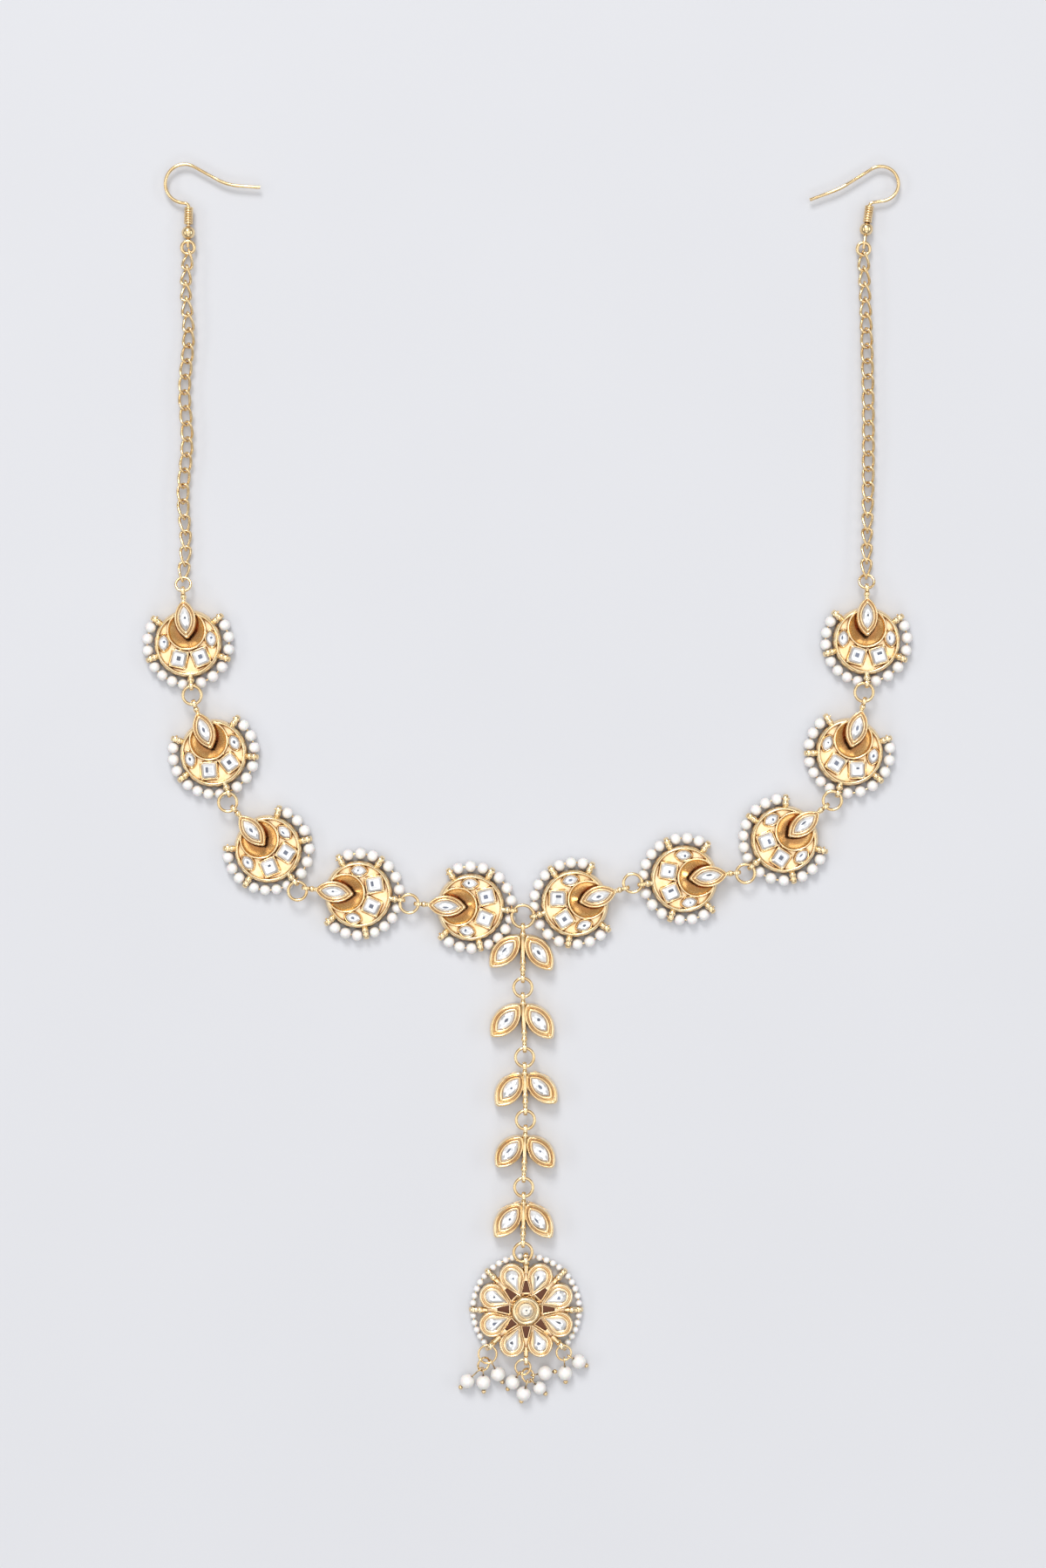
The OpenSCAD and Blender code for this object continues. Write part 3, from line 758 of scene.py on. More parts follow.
class Finishes(Enum):
    """The finishes of this ornament."""

    CAST_GOLD = GoldPlate("cast_gold")
    # painted shade in the crescents' mouths
    CRESCENT_GOLD = GoldPlate("crescent_gold", low_shade=(0.50, 0.25, 0.135), low_shade_z=(0.5, 1.6))
    # painted shade, nearly black-brown, on the floors of the flower's recesses
    FLOWER_GOLD = GoldPlate(
        "flower_gold", pale=(1.0, 0.83, 0.56), warm=(0.97, 0.73, 0.42), open_from=0.52,
        low_shade=(0.12, 0.048, 0.026), low_shade_z=(0.55, 1.1),
    )
    WIRE_GOLD = GoldPlate(
        "wire_gold", pale=(0.92, 0.71, 0.41), warm=(0.82, 0.58, 0.29), rough=(0.12, 0.24),
        ripple=0.015, pit=0.006, reach=0.6,
    )
    CLEAR_STONE = CutGlass("cut_glass")
    ROSE_STONE = CutGlass("rose_glass", tint=(1.0, 0.93, 0.80))
    RIM_PEARL = PearlLustre("strung_pearl")
    DROP_PEARL = PearlLustre("pinned_pearl", milk=(0.93, 0.91, 0.87))
    SEED_BEAD = PearlLustre(
        "milk_glass", milk=(0.96, 0.96, 0.96), shade=(0.90, 0.90, 0.91), rough=(0.1, 0.2)
    )


# Stones


def lens_points(length: float, width: float, count: int) -> list[Flat]:
    """Outline of a marquise stone, long along Y.

    Args:
        length: The lens's length.
        width: The lens's width.
        count: How many points the outline has.

    Returns:
        The outline's points in order.
    """
    r = (length * length + width * width) / (4 * width)
    off, a, k = r - width / 2, math.asin(length / 2 / r), count // 2
    steps = [-a + 2 * a * i / k for i in range(k)]
    right = [(r * math.cos(t) - off, r * math.sin(t)) for t in steps]
    left = [(off - r * math.cos(t), -r * math.sin(t)) for t in steps]
    return right + left


def pear_points(round_r: float, reach: float, count: int) -> list[Flat]:
    """Outline of a pear stone, its round end at the origin and its point at -Y.

    Args:
        round_r: Radius of the round end.
        reach: How far the point lies from the origin.
        count: How many points the outline has.

    Returns:
        The outline's points in order.
    """
    b, k = math.acos(round_r / reach), count - 2
    turns = [-math.pi / 2 + b + (2 * math.pi - 2 * b) * i / k for i in range(k + 1)]
    return [(round_r * math.cos(t), round_r * math.sin(t)) for t in turns] + [(0.0, -reach)]


def square_points(width: float, length: float, cut: float) -> list[Flat]:
    """Outline of a square stone with its corners cut.

    Args:
        width: The stone's width.
        length: The stone's length.
        cut: How much of each side a cut corner takes.

    Returns:
        The outline's points in order.
    """
    x, y = width / 2, length / 2
    half = [(x, cut - y), (x, y - cut), (x - cut, y), (cut - x, y)]
    return half + [(-x, -y) for x, y in half]


def blunt_lens(length: float, width: float, end: float, bulge: float) -> list[Flat]:
    """Outline of a lens whose tips are rounded off beyond a distance from its middle.

    Args:
        length: The lens's length with sharp tips.
        width: The lens's width.
        end: How far from the middle a tip starts to round off.
        bulge: How far the rounded tip stands past that.

    Returns:
        The outline's points in order.
    """
    r = (length * length + width * width) / (4 * width)
    off, a, steps = r - width / 2, math.asin(end / r), 7
    turns = [a * (i / steps - 1) for i in range(2 * steps + 1)]
    side = [(r * math.cos(t) - off, r * math.sin(t)) for t in turns]
    tip = [way(angle) for angle in (30, 60, 90, 120, 150)]
    cap = [(side[-1][0] * u.x, end + bulge * u.y) for u in tip]
    half = side + cap
    return half + [(-x, -y) for x, y in half]


class Spot(Enum):
    """Where the dark reflection lies in a stone: shift in shares of its size, and its size."""

    MIDDLE = (0.0, 0.05, 0.4, 0.4)
    HIGH = (0.12, 0.2, 0.5, 0.26)
    SIDE = (-0.2, 0.08, 0.28, 0.5)
    SMALL = (0.05, 0.12, 0.3, 0.2)


# Facet colours of the stones: painted glare on the crown and table, a painted dark reflection in the window
GIRDLE_TINT = (0.62, 0.52, 0.38)
TABLE_LIGHTS = (1.0, 0.97, 0.97, 0.9, 0.72)
TABLE_GLARE_TINT = (0.98, 0.99, 1.0)
CROWN_GLARE_TINT = (1.0, 0.99, 0.98)
DARK_REFLECTION_TINT = (1.0, 1.15, 1.6)


@dataclass
class GemCut:
    """A cut stone: straight girdle, two rows of crown facets, a table and a sunken window in it for a
    painted dark reflection.

    The knee is the line between the two rows, as shares of the crown's height and slope.
    """

    outline: list[Flat]
    base: float
    girdle: float
    top: float
    table: float
    middle: Flat = (0.0, 0.0)
    knee_rise: float = 0.58
    knee_in: float = 0.42
    window: float = 0.74
    sink: float = 0.01

    def pattern(self, spot: Spot) -> Piece:
        """Models the stone once, at its own height above the table.

        Args:
            spot: Where its dark reflection lies.

        Returns:
            The pattern piece, to be copied.
        """
        gem = Bench.plate(self.outline, self.base)
        Bench.pick(gem, lambda middle, normal: True)
        rise = (self.girdle - self.base) * MM
        bpy.ops.mesh.extrude_region_move(TRANSFORM_OT_translate={"value": (0, 0, rise)})
        knee = 1 - self.knee_in * (1 - self.table)
        self.step(self.knee_rise * (self.top - self.girdle), knee)
        self.step((1 - self.knee_rise) * (self.top - self.girdle), self.table / knee)
        dx, dy, sx, sy = spot.value
        self.step(-self.sink, self.window)
        self.step(0.0, sx / self.window, sy / self.window)
        size = 2 * self.table * min(max(p[0] for p in self.outline), max(p[1] for p in self.outline))
        bpy.ops.transform.translate(value=(dx * size * MM, dy * size * MM, 0))
        bpy.ops.object.mode_set(mode="OBJECT")
        self.split_crown(gem)
        return gem

    def step(self, rise: float, scale: float, scale_y: float | None = None) -> None:
        """Draws the top face up and in, round the stone's middle.

        Args:
            rise: How far up the face moves.
            scale: How much the face shrinks.
            scale_y: How much it shrinks along Y, where that differs.
        """
        middle = Vector((*self.middle, 0)) * MM
        bpy.ops.mesh.extrude_region_move(TRANSFORM_OT_translate={"value": (0, 0, rise * MM)})
        bpy.ops.transform.resize(value=(scale, scale_y or scale, 1), center_override=middle)

    def split_crown(self, gem: Piece) -> None:
        """Splits the slanting faces into triangles and closes the stone's shading to flat facets.

        Args:
            gem: The stone.
        """
        Bench.pick(gem, lambda middle, normal: 0.02 < normal.z < 0.99)
        bpy.ops.mesh.quads_convert_to_tris(quad_method="FIXED_ALTERNATE")
        bpy.ops.mesh.select_all(action="SELECT")
        bpy.ops.mesh.normals_make_consistent(inside=False)
        bpy.ops.object.mode_set(mode="OBJECT")
        bpy.ops.object.shade_flat()

    def tint(self, gem: Piece, dice: random.Random) -> Piece:
        """Paints each facet of a copy in the attribute facet: glare on the crown, brighter towards one
        side, light on the table and a dark reflection in its window.

        Args:
            gem: The stone.
            dice: Chance, for the facets' tints.

        Returns:
            The same stone.
        """
        upright, level = 0.02, 0.985
        paint = gem.data.color_attributes.new("facet", "FLOAT_COLOR", "CORNER")
        glare = dice.uniform(0, 2 * math.pi)
        for face in gem.data.polygons:
            if face.normal.z < upright:
                lit, tint = 1.0, GIRDLE_TINT
            elif face.normal.z <= level:
                around = math.atan2(face.center.y, face.center.x)
                # painted glare: crown facets lighter towards one side
                lit = 0.86 + 0.2 * math.cos(around - glare) + dice.uniform(-0.2, 0.1)
                lit, tint = min(1.0, max(0.3, lit)), CROWN_GLARE_TINT
            elif len(face.vertices) == len(self.outline):
                # painted dark reflection in the table's window
                lit, tint = dice.uniform(0.05, 0.16), DARK_REFLECTION_TINT
            else:
                lit, tint = dice.choice(TABLE_LIGHTS), TABLE_GLARE_TINT
            for corner in face.loop_indices:
                paint.data[corner].color = (*(lit * part for part in tint), 1)
        return gem


@dataclass
class GemTray:
    """Patterns of one cut, a few of them with their reflections in different places."""

    cut: GemCut
    spots: tuple[Spot, ...] = (Spot.MIDDLE, Spot.HIGH, Spot.SIDE, Spot.SMALL)
    patterns: list[Piece] = field(default_factory=list)

    def build(self) -> "GemTray":
        """Models the patterns."""
        self.patterns = [self.cut.pattern(spot) for spot in self.spots]
        return self

    def take(self, matrix: Matrix, dice: random.Random) -> Piece:
        """A tinted copy of one of the patterns, placed.

        Args:
            matrix: Where the stone lies.
            dice: Chance, for the choice of pattern and the facets' tints.

        Returns:
            The stone.
        """
        gem = Bench.copy(dice.choice(self.patterns), Matrix.Identity(4))
        self.cut.tint(gem, dice)
        gem.data.transform(matrix)
        return gem


# Settings round the stones


@dataclass
class Setting:
    """Rounded metal round a stone: ridges and a groove, drawn in steps from its outline.

    Each step says how far in it lies, from 0 at the outline to 1 at the stone, and its height.
    """

    outline: list[Flat]
    seat: Flat
    base: float
    steps: tuple[Flat, ...]
    middle: Flat = (0.0, 0.0)

    def pattern(self) -> Piece:
        """Models the setting once, as a closed shell over the model's plain one.

        Returns:
            The pattern piece, to be copied.
        """
        shell = Bench.plate(self.outline, self.base)
        Bench.pick(shell, lambda middle, normal: True)
        last, height = (1.0, 1.0), self.base
        centre = Vector((*self.middle, 0)) * MM
        for share, z in self.steps:
            now = tuple(1 - share * (1 - end) for end in self.seat)
            bpy.ops.mesh.extrude_region_move(TRANSFORM_OT_translate={"value": (0, 0, (z - height) * MM)})
            bpy.ops.transform.resize(value=(now[0] / last[0], now[1] / last[1], 1), center_override=centre)
            last, height = now, z
        bpy.ops.object.mode_set(mode="OBJECT")
        return Bench.close(shell, 55)


LEAF_STEPS = (
    (0.0, 1.5), (0.02, 1.86), (0.08, 2.5), (0.13, 2.98), (0.2, 3.14), (0.28, 3.2), (0.36, 3.15),
    (0.45, 2.98), (0.51, 2.8), (0.56, 2.8), (0.62, 3.0), (0.7, 3.22), (0.78, 3.33), (0.88, 3.32),
    (0.955, 3.22), (0.965, 2.8),
)
PETAL_STEPS = (
    (0.0, 2.5), (0.03, 2.88), (0.09, 3.02), (0.19, 3.12), (0.3, 3.08), (0.38, 2.92), (0.44, 2.76),
    (0.5, 2.76), (0.56, 2.95), (0.63, 3.14), (0.73, 3.23), (0.84, 3.21), (0.94, 3.13), (0.95, 2.7),
)
MARQUISE_STEPS = (
    (0.0, 3.5), (0.03, 3.98), (0.1, 4.12), (0.2, 4.2), (0.3, 4.17), (0.4, 4.0), (0.47, 3.86),
    (0.53, 3.86), (0.58, 4.02), (0.64, 4.23), (0.74, 4.32), (0.84, 4.3), (0.94, 4.22), (0.95, 3.8),
)
CELL_STEPS = (
    (0.0, 2.12), (0.1, 2.4), (0.25, 2.7), (0.4, 2.9), (0.52, 3.0), (0.66, 3.08), (0.8, 3.06),
    (0.89, 2.98), (0.91, 2.6),
)


@dataclass
class Mounts:
    """The rounded settings that are made once and copied."""

    def build(self) -> "Mounts":
        """Models the patterns.

        Returns:
            The mounts themselves.
        """
        marquise = blunt_lens(7.97, 4.36, 3.7, 0.28)
        self.marquise = Setting(marquise, (2.3 / 4.36, 2.55 / 3.98), 1.5, MARQUISE_STEPS).pattern()
        square = square_points(4.0, 4.2, 0.6)
        self.square = Setting(square, (2.9 / 4.0, 3.1 / 4.2), 2.0, CELL_STEPS).pattern()
        side = blunt_lens(4.2, 3.0, 1.9, 0.16)
        self.side = Setting(side, (2.0 / 3.0, 3.1 / 4.12), 2.0, CELL_STEPS).pattern()
        pear = pear_points(2.63, 4.56, 34)
        self.petal = Setting(pear, (1.3 / 2.63, 4.6 / 7.19), 0.3, PETAL_STEPS, (0.0, -1.06)).pattern()
        return self

    def scrap(self) -> None:
        """Removes the patterns."""
        Bench.scrap(self.marquise, self.square, self.side, self.petal)


# Strung beads


@dataclass
class Bead:
    """A drilled bead with its bore along Z."""

    diameter: float
    squash: float = 1.0
    segments: int = 16
    rings: int = 9
    flat_from: float = 0.93
    flat_to: float = 0.95

    def pattern(self) -> Piece:
        """Models the bead once: its ends are pulled in round the bore.

        Returns:
            The pattern piece, to be copied.
        """
        Bench.clear()
        r = self.diameter / 2 * MM
        bpy.ops.mesh.primitive_uv_sphere_add(segments=self.segments, ring_count=self.rings, radius=r)
        bead = bpy.context.object
        bead.scale = (1, 1, self.squash)
        Bench.settle(bead)
        limit = self.flat_from * r * self.squash
        Bench.pick(bead, lambda middle, normal: abs(middle.z) > limit)
        bpy.ops.transform.resize(value=(1, 1, self.flat_to), center_override=(0, 0, 0))
        return Bench.close(bead, 70)


@dataclass
class Strung:
    """A wire on an arc with beads between its eyes."""

    radius: float
    z: float
    stops: tuple[float, ...]
    counts: tuple[int, ...]
    clear: float
    overrun: float
    bead: float
    wire: float = 0.4
    wire_sides: int = 8
    wire_steps: int = 56

    def wire_piece(self, name: str, matrix: Matrix) -> Piece:
        """Spins a round wire from the first eye to the last.

        Args:
            name: The wire's name.
            matrix: Where the arc's middle lies.

        Returns:
            The wire.
        """
        Bench.clear()
        start = math.radians(self.stops[0] - self.overrun)
        sweep = math.radians(self.stops[-1] - self.stops[0] + 2 * self.overrun)
        upright, thick = (math.pi / 2, 0, 0), self.wire / 2 * MM
        bpy.ops.mesh.primitive_circle_add(
            vertices=self.wire_sides, radius=thick, fill_type="NGON", rotation=upright
        )
        wire = bpy.context.object
        wire.location = (self.radius * MM, 0, self.z * MM)
        Bench.settle(wire)
        wire.data.transform(Matrix.Rotation(start, 4, "Z"))
        Bench.pick(wire, lambda middle, normal: True)
        bpy.ops.mesh.spin(steps=self.wire_steps, angle=-sweep, center=(0, 0, 0), axis=(0, 0, 1))
        bpy.ops.object.mode_set(mode="OBJECT")
        wire.name = name
        Bench.close(wire, 50)
        wire.data.transform(matrix)
        return wire

    def beads(self, pattern: Piece, name: str, matrix: Matrix, dice: random.Random, spare: float) -> Piece:
        """Threads copies of a bead on the wire.

        Args:
            pattern: The bead, its bore along Z.
            name: The joined piece's name.
            matrix: Where the arc's middle lies.
            dice: Chance, for the beads' small differences.
            spare: How much smaller a bead may be, as a share.

        Returns:
            The beads joined into one piece.
        """
        made, any_way_round = [], 6.2
        for start, end, count in zip(self.stops, self.stops[1:], self.counts):
            span = (end - start - 2 * self.clear) / count
            most = min(1.0, math.radians(span) * self.radius / self.bead)
            for k in range(count):
                at = start + self.clear + span * (k + 0.5)
                size = most - dice.uniform(0, spare)
                lay = placed(self.radius * way(at), at, self.z)
                turn = Matrix.Rotation(dice.uniform(0, any_way_round), 4, "Z")
                along = Matrix.Rotation(math.pi / 2, 4, "X")
                made.append(Bench.copy(pattern, matrix @ lay @ along @ turn @ Matrix.Scale(size, 4)))
        return Bench.join(made, name)


# Sub-assemblies


WELD_REACH = 0.002
EDGE_STEPS = 3
EDGE_ANGLE = 38


def dress_metal(nodes: dict[str, Piece], name: str, finish: Finish, edge: float = 0.0) -> None:
    """Covers a metal node of the model and breaks its edges.

    Args:
        nodes: The model's nodes.
        name: The node.
        finish: Its plating.
        edge: Width of the broken edges in millimetres, 0 for none.
    """
    node = nodes[name]
    node.data.materials.clear()
    node.data.materials.append(finish.material())
    weld = node.modifiers.new("weld", "WELD")
    weld.merge_threshold = WELD_REACH * MM
    if edge:
        bevel = node.modifiers.new("edges", "BEVEL")
        bevel.width = edge * MM
        bevel.segments = EDGE_STEPS
        bevel.limit_method = "ANGLE"
        bevel.angle_limit = math.radians(EDGE_ANGLE)
        bevel.use_clamp_overlap = False
        bevel.harden_normals = False
        lean = node.modifiers.new("shading", "WEIGHTED_NORMAL")
        lean.keep_sharp = True
    LOG.info("metal %s: %d triangles", name, len(node.data.polygons))


@dataclass
class GemBox:
    """All trays of stones, with the cuts' sizes as the settings have them.

    A cut is given by its outline, the heights of its base, girdle and top, and its table's share.
    """

    face_h: float = 2.2
    leaf_h: float = 3.2
    centre_h: float = 4.2

    def __post_init__(self) -> None:
        """Lays out the trays."""
        face, leaf, mid = self.face_h, self.leaf_h, self.centre_h
        square = square_points(2.9, 3.1, 0.3)
        self.square = GemTray(GemCut(square, face + 0.03, face + 0.75, face + 1.2, 0.72))
        side = lens_points(3.1, 2.0, 10)
        self.side = GemTray(GemCut(side, face + 0.03, face + 0.75, face + 1.1, 0.66))
        self.marquise = GemTray(GemCut(lens_points(5.1, 2.3, 12), 3.33, 4.15, 4.6, 0.6))
        self.leaf = GemTray(GemCut(lens_points(5.0, 2.5, 12), leaf - 0.87, leaf - 0.05, leaf + 0.35, 0.6))
        self.pear = GemTray(GemCut(pear_points(1.3, 3.3, 12), 2.23, 3.05, 3.4, 0.62, (0.0, -0.7)))
        sides = 16
        ring = [tuple(1.55 * way(360 * i / sides)) for i in range(sides)]
        self.rose = GemTray(GemCut(ring, mid - 0.97, mid - 0.67, mid + 0.03, 0.5), (Spot.SMALL,))

    def trays(self) -> tuple[GemTray, ...]:
        """Every tray."""
        return (self.square, self.side, self.marquise, self.leaf, self.pear, self.rose)

    def build(self) -> "GemBox":
        """Models every tray's patterns.

        Returns:
            The box itself.
        """
        for tray in self.trays():
            tray.build()
        return self

    def scrap(self) -> None:
        """Removes the patterns."""
        for tray in self.trays():
            Bench.scrap(*tray.patterns)


@dataclass
class Crescent:
    """A crescent setting with its stones and the pearls on its rim.

    A stone's place is X, Y and its turn, of the one on the right. The squares sit a shift aside.
    """

    number: int
    edge: float = 0.09
    spare: float = 0.03
    first_dice: int = 40
    shift: float = 0.2
    square: tuple[float, float, float] = (2.26, -3.05, 17)
    side: tuple[float, float, float] = (4.9, 0.5, 5)
    marquise_rise: float = 5.05
    string: Strung = field(
        default_factory=lambda: Strung(8.45, 1.26, (139, 197.5, 270, 334, 395), (3, 4, 3, 3), 4.0, 6, 2.5)
    )

    def build(self, layout: Layout, gems: GemBox, pearl: Piece, mounts: Mounts) -> None:
        """Sets the stones, rounds the metal round them and strings the pearls.

        Args:
            layout: Where everything lies.
            gems: The stones, ready to be copied.
            pearl: The rim pearl, ready to be copied.
            mounts: The rounded settings, ready to be copied.
        """
        dice = random.Random(self.first_dice + self.number)
        stand = layout.station(self.number)
        set_stones = [gems.marquise.take(stand @ placed((0, self.marquise_rise)), dice)]
        metal = [Bench.copy(mounts.marquise, stand @ placed((0, self.marquise_rise)))]
        for side in (-1, 1):
            x, y, turn = self.square
            turned = stand @ placed((self.shift + side * x, y), side * turn)
            set_stones.append(gems.square.take(turned, dice))
            metal.append(Bench.copy(mounts.square, turned))
            x, y, turn = self.side
            turned = stand @ placed((side * x, y), side * turn)
            set_stones.append(gems.side.take(turned, dice))
            metal.append(Bench.copy(mounts.side, turned))
        stones = Bench.join(set_stones, f"cut_stones_{self.number}")
        Bench.hand_over(stones, Finishes.CLEAR_STONE.value, "clear_stone", f"crescent_stones_{self.number}")
        mount = Bench.join(metal, f"crescent_mounts_{self.number}")
        Bench.hand_over(mount, Finishes.CAST_GOLD.value, "gold_metal")
        pearls = self.string.beads(pearl, f"rim_pearls_{self.number}", stand, dice, self.spare)
        Bench.hand_over(pearls, Finishes.RIM_PEARL.value, "rim_pearl", f"pearl_string_{self.number}")
        wire = self.string.wire_piece(f"string_wire_{self.number}", stand)
        Bench.hand_over(wire, Finishes.WIRE_GOLD.value, "gold_metal", f"pearl_string_{self.number}")

    def dress(self, nodes: dict[str, Piece]) -> None:
        """Plates the casting."""
        dress_metal(nodes, f"crescent_{self.number}", Finishes.CRESCENT_GOLD.value, self.edge)


@dataclass
class LeafStrand:
    """The five leaf-pair links below the centre ring.

    A leaf's stem end lies a spread beside its link's middle line and a drop below its top.
    """

    spread: float = 0.5
    drop: float = 1.5
    edge: float = 0.1
    stone: Flat = (2.5, 2.5)
    skin: Flat = (0.06, 0.09)
    tip: Flat = (0.28, 0.22)

    def setting(self, row: LeafRow) -> Setting:
        """The rounded form of one leaf.

        Args:
            row: The link that the leaf belongs to.

        Returns:
            The setting, ready to be modelled.
        """
        width, length = row.leaf_w + self.skin[0], row.leaf_l + self.skin[1]
        end, bulge = row.leaf_l / 2 - self.tip[0], self.tip[1]
        outline = blunt_lens(length, width, end, bulge)
        seat = (self.stone[0] / width, self.stone[1] / (end + bulge))
        return Setting(outline, seat, 0.15, LEAF_STEPS, (0.0, row.lean / (1 - seat[1])))

    def build(self, layout: Layout, gems: GemBox) -> None:
        """Sets a stone in each leaf and rounds the leaf round it.

        Args:
            layout: Where everything lies.
            gems: The stones, ready to be copied.
        """
        dice = random.Random(7)
        made, metal = [], []
        for i, row in enumerate(layout.leaves):
            stand = placed(layout.link_top(i), row.turn)
            for side, turn in ((-1, row.left), (1, row.right)):
                leaf = placed((side * self.spread, -self.drop), side * turn)
                made.append(gems.leaf.take(stand @ leaf @ placed((0, row.lean - row.leaf_l / 2)), dice))
                form = self.setting(row).pattern()
                form.data.transform(stand @ leaf @ placed((0, -row.leaf_l / 2)))
                metal.append(form)
        Bench.hand_over(Bench.join(metal, "leaf_mounts"), Finishes.CAST_GOLD.value, "gold_metal")
        stones = Bench.join(made, "leaf_gems")
        Bench.hand_over(stones, Finishes.CLEAR_STONE.value, "clear_stone", "leaf_stones")

    def dress(self, nodes: dict[str, Piece]) -> None:
        """Plates the links."""
        for i in range(1, 6):
            dress_metal(nodes, f"leaf_link_{i}", Finishes.CAST_GOLD.value, self.edge)


@dataclass
class Flower:
    """The flower drop with its petals' stones, its seed beads and the cluster below."""

    petal_r: float = 7.6
    petals: int = 8
    first_petal: float = 22.5
    edge: float = 0.08
    spare: float = 0.04
    seeds: Strung = field(
        default_factory=lambda: Strung(11.0, 0.95, tuple(range(-45, 226, 45)), (5,) * 6, 2.7, 4, 1.6)
    )

    def build(self, layout: Layout, gems: GemBox, seed: Piece, form: Piece) -> None:
        """Sets the stones, rounds the petals and strings the seed beads.

        Args:
            layout: Where everything lies.
            gems: The stones, ready to be copied.
            seed: The seed bead, ready to be copied.
            form: The petal's rounded setting, ready to be copied.
        """
        dice = random.Random(11)
        stand = placed(layout.flower())
        turns = [self.first_petal + 360 / self.petals * k for k in range(self.petals)]
        spots = [stand @ placed((0, 0), turn) @ placed((0, self.petal_r)) for turn in turns]
        stones = Bench.join([gems.pear.take(spot, dice) for spot in spots], "petal_gems")
        Bench.hand_over(stones, Finishes.CLEAR_STONE.value, "clear_stone", "petal_stones")
        rose = gems.rose.take(stand, dice)
        rose.name = "rose_stone"
        Bench.hand_over(rose, Finishes.ROSE_STONE.value, "centre_stone", "centre_stone")
        metal = Bench.join([Bench.copy(form, spot) for spot in spots], "petal_mounts")
        Bench.hand_over(metal, Finishes.FLOWER_GOLD.value, "gold_metal")
        beads = self.seeds.beads(seed, "seed_beads", stand, dice, self.spare)
        Bench.hand_over(beads, Finishes.SEED_BEAD.value, "seed_bead", "seed_bead_string")
        wire = self.seeds.wire_piece("seed_wire", stand)
        Bench.hand_over(wire, Finishes.WIRE_GOLD.value, "gold_metal", "seed_bead_string")

    def dress(self, nodes: dict[str, Piece]) -> None:
        """Plates the flower and finishes the cluster.

        Args:
            nodes: The model's nodes.
        """
        dress_metal(nodes, "flower", Finishes.FLOWER_GOLD.value, self.edge)
        for name in ("cluster_rings", "head_pins"):
            dress_metal(nodes, name, Finishes.WIRE_GOLD.value)
        dress_metal(nodes, "hanging_pearls", Finishes.DROP_PEARL.value)


@dataclass
class CurbChain:
    """One of the chains, link by link: it sways in waves and its links roll along the way.

    A bite is how far a link reaches into the next, and boxy how square its corners are.
    """

    left: bool
    sway: float
    waves: float
    pitch: float = 3.2
    half_l: float = 2.0
    half_w: float = 1.08
    wire: float = 0.62
    boxy: float = 1.3
    bite: float = 0.8
    twist: float = 50
    roll_end: float = 40
    roll_wave: float = 14

    def pattern(self) -> Piece:
        """Models one link: a round wire loop, drawn long and twisted.

        Returns:
            The pattern link, to be copied.
        """
        Bench.clear()
        bpy.ops.curve.primitive_bezier_circle_add(radius=MM)
        loop = bpy.context.object
        bpy.ops.object.mode_set(mode="EDIT")
        bpy.ops.curve.select_all(action="SELECT")
        bpy.ops.transform.resize(value=(self.half_w, self.half_l, 1), center_override=(0, 0, 0))
        bpy.ops.object.mode_set(mode="OBJECT")
        for knot in loop.data.splines[0].bezier_points:
            knot.handle_left_type = knot.handle_right_type = "ALIGNED"
            knot.handle_left = knot.co.lerp(knot.handle_left, self.boxy)
            knot.handle_right = knot.co.lerp(knot.handle_right, self.boxy)
        loop.data.bevel_depth = self.wire / 2 * MM
        loop.data.bevel_resolution = 2
        loop.data.resolution_u = 8
        loop.data.dimensions = "3D"
        Bench.hold(loop)
        bpy.ops.object.convert(target="MESH")
        link = bpy.context.object
        turn = link.modifiers.new("twist", "SIMPLE_DEFORM")
        turn.deform_method = "TWIST"
        turn.deform_axis = "Y"
        turn.angle = math.radians(-2 * self.twist * (self.half_l + self.wire / 2) / self.half_l)
        bpy.ops.object.modifier_apply(modifier=turn.name)
        return Bench.close(link, 60)

    def heading(self, start: Vector, end: Vector, share: float) -> float:
        """Turn about +Z in degrees of a link that lies along the chain's line.

        Args:
            start: Where the chain starts in its ring.
            end: Where the chain ends in its hook's loop.
            share: How far along the chain the link lies, from 0 to 1.

        Returns:
            The turn in degrees.
        """
        near = 0.01
        ahead = self.point(start, end, share + near) - self.point(start, end, share - near)
        return math.degrees(math.atan2(ahead.y, ahead.x)) - 90

    def point(self, start: Vector, end: Vector, share: float) -> Vector:
        """A point on the chain's line, from its first link's middle to its last one's.

        Args:
            start: Where the chain starts in its ring.
            end: Where the chain ends in its hook's loop.
            share: How far along the line the point lies, from 0 to 1.

        Returns:
            The point in millimetres.
        """
        lead = self.half_l - self.bite
        length = (end - start).length
        along = (end - start) / length
        spot = start + along * (lead + share * (length - 2 * lead))
        return spot + Vector((self.sway * math.sin(2 * math.pi * self.waves * share), 0))

    def build(self, layout: Layout) -> None:
        """Lays the links from the ring to the hook.

        Args:
            layout: Where everything lies.
        """
        link = self.pattern()
        start, end = layout.chain_ends(self.left)
        count = round(((end - start).length - 2 * (self.half_l - self.bite)) / self.pitch) + 1
        made = []
        for i in range(count):
            u = i / (count - 1)
            wave = self.roll_wave * math.sin(4 * math.pi * u)
            roll = self.roll_end * (1 - 2 * u) + wave
            lay = placed(self.point(start, end, u), self.heading(start, end, u), layout.hook_z)
            made.append(Bench.copy(link, lay @ Matrix.Rotation(math.radians(roll), 4, "Y")))
        side = "left" if self.left else "right"
        chain = Bench.join(made, f"{side}_links")
        Bench.hand_over(chain, Finishes.WIRE_GOLD.value, "gold_metal", f"{side}_chain")
        Bench.scrap(link)


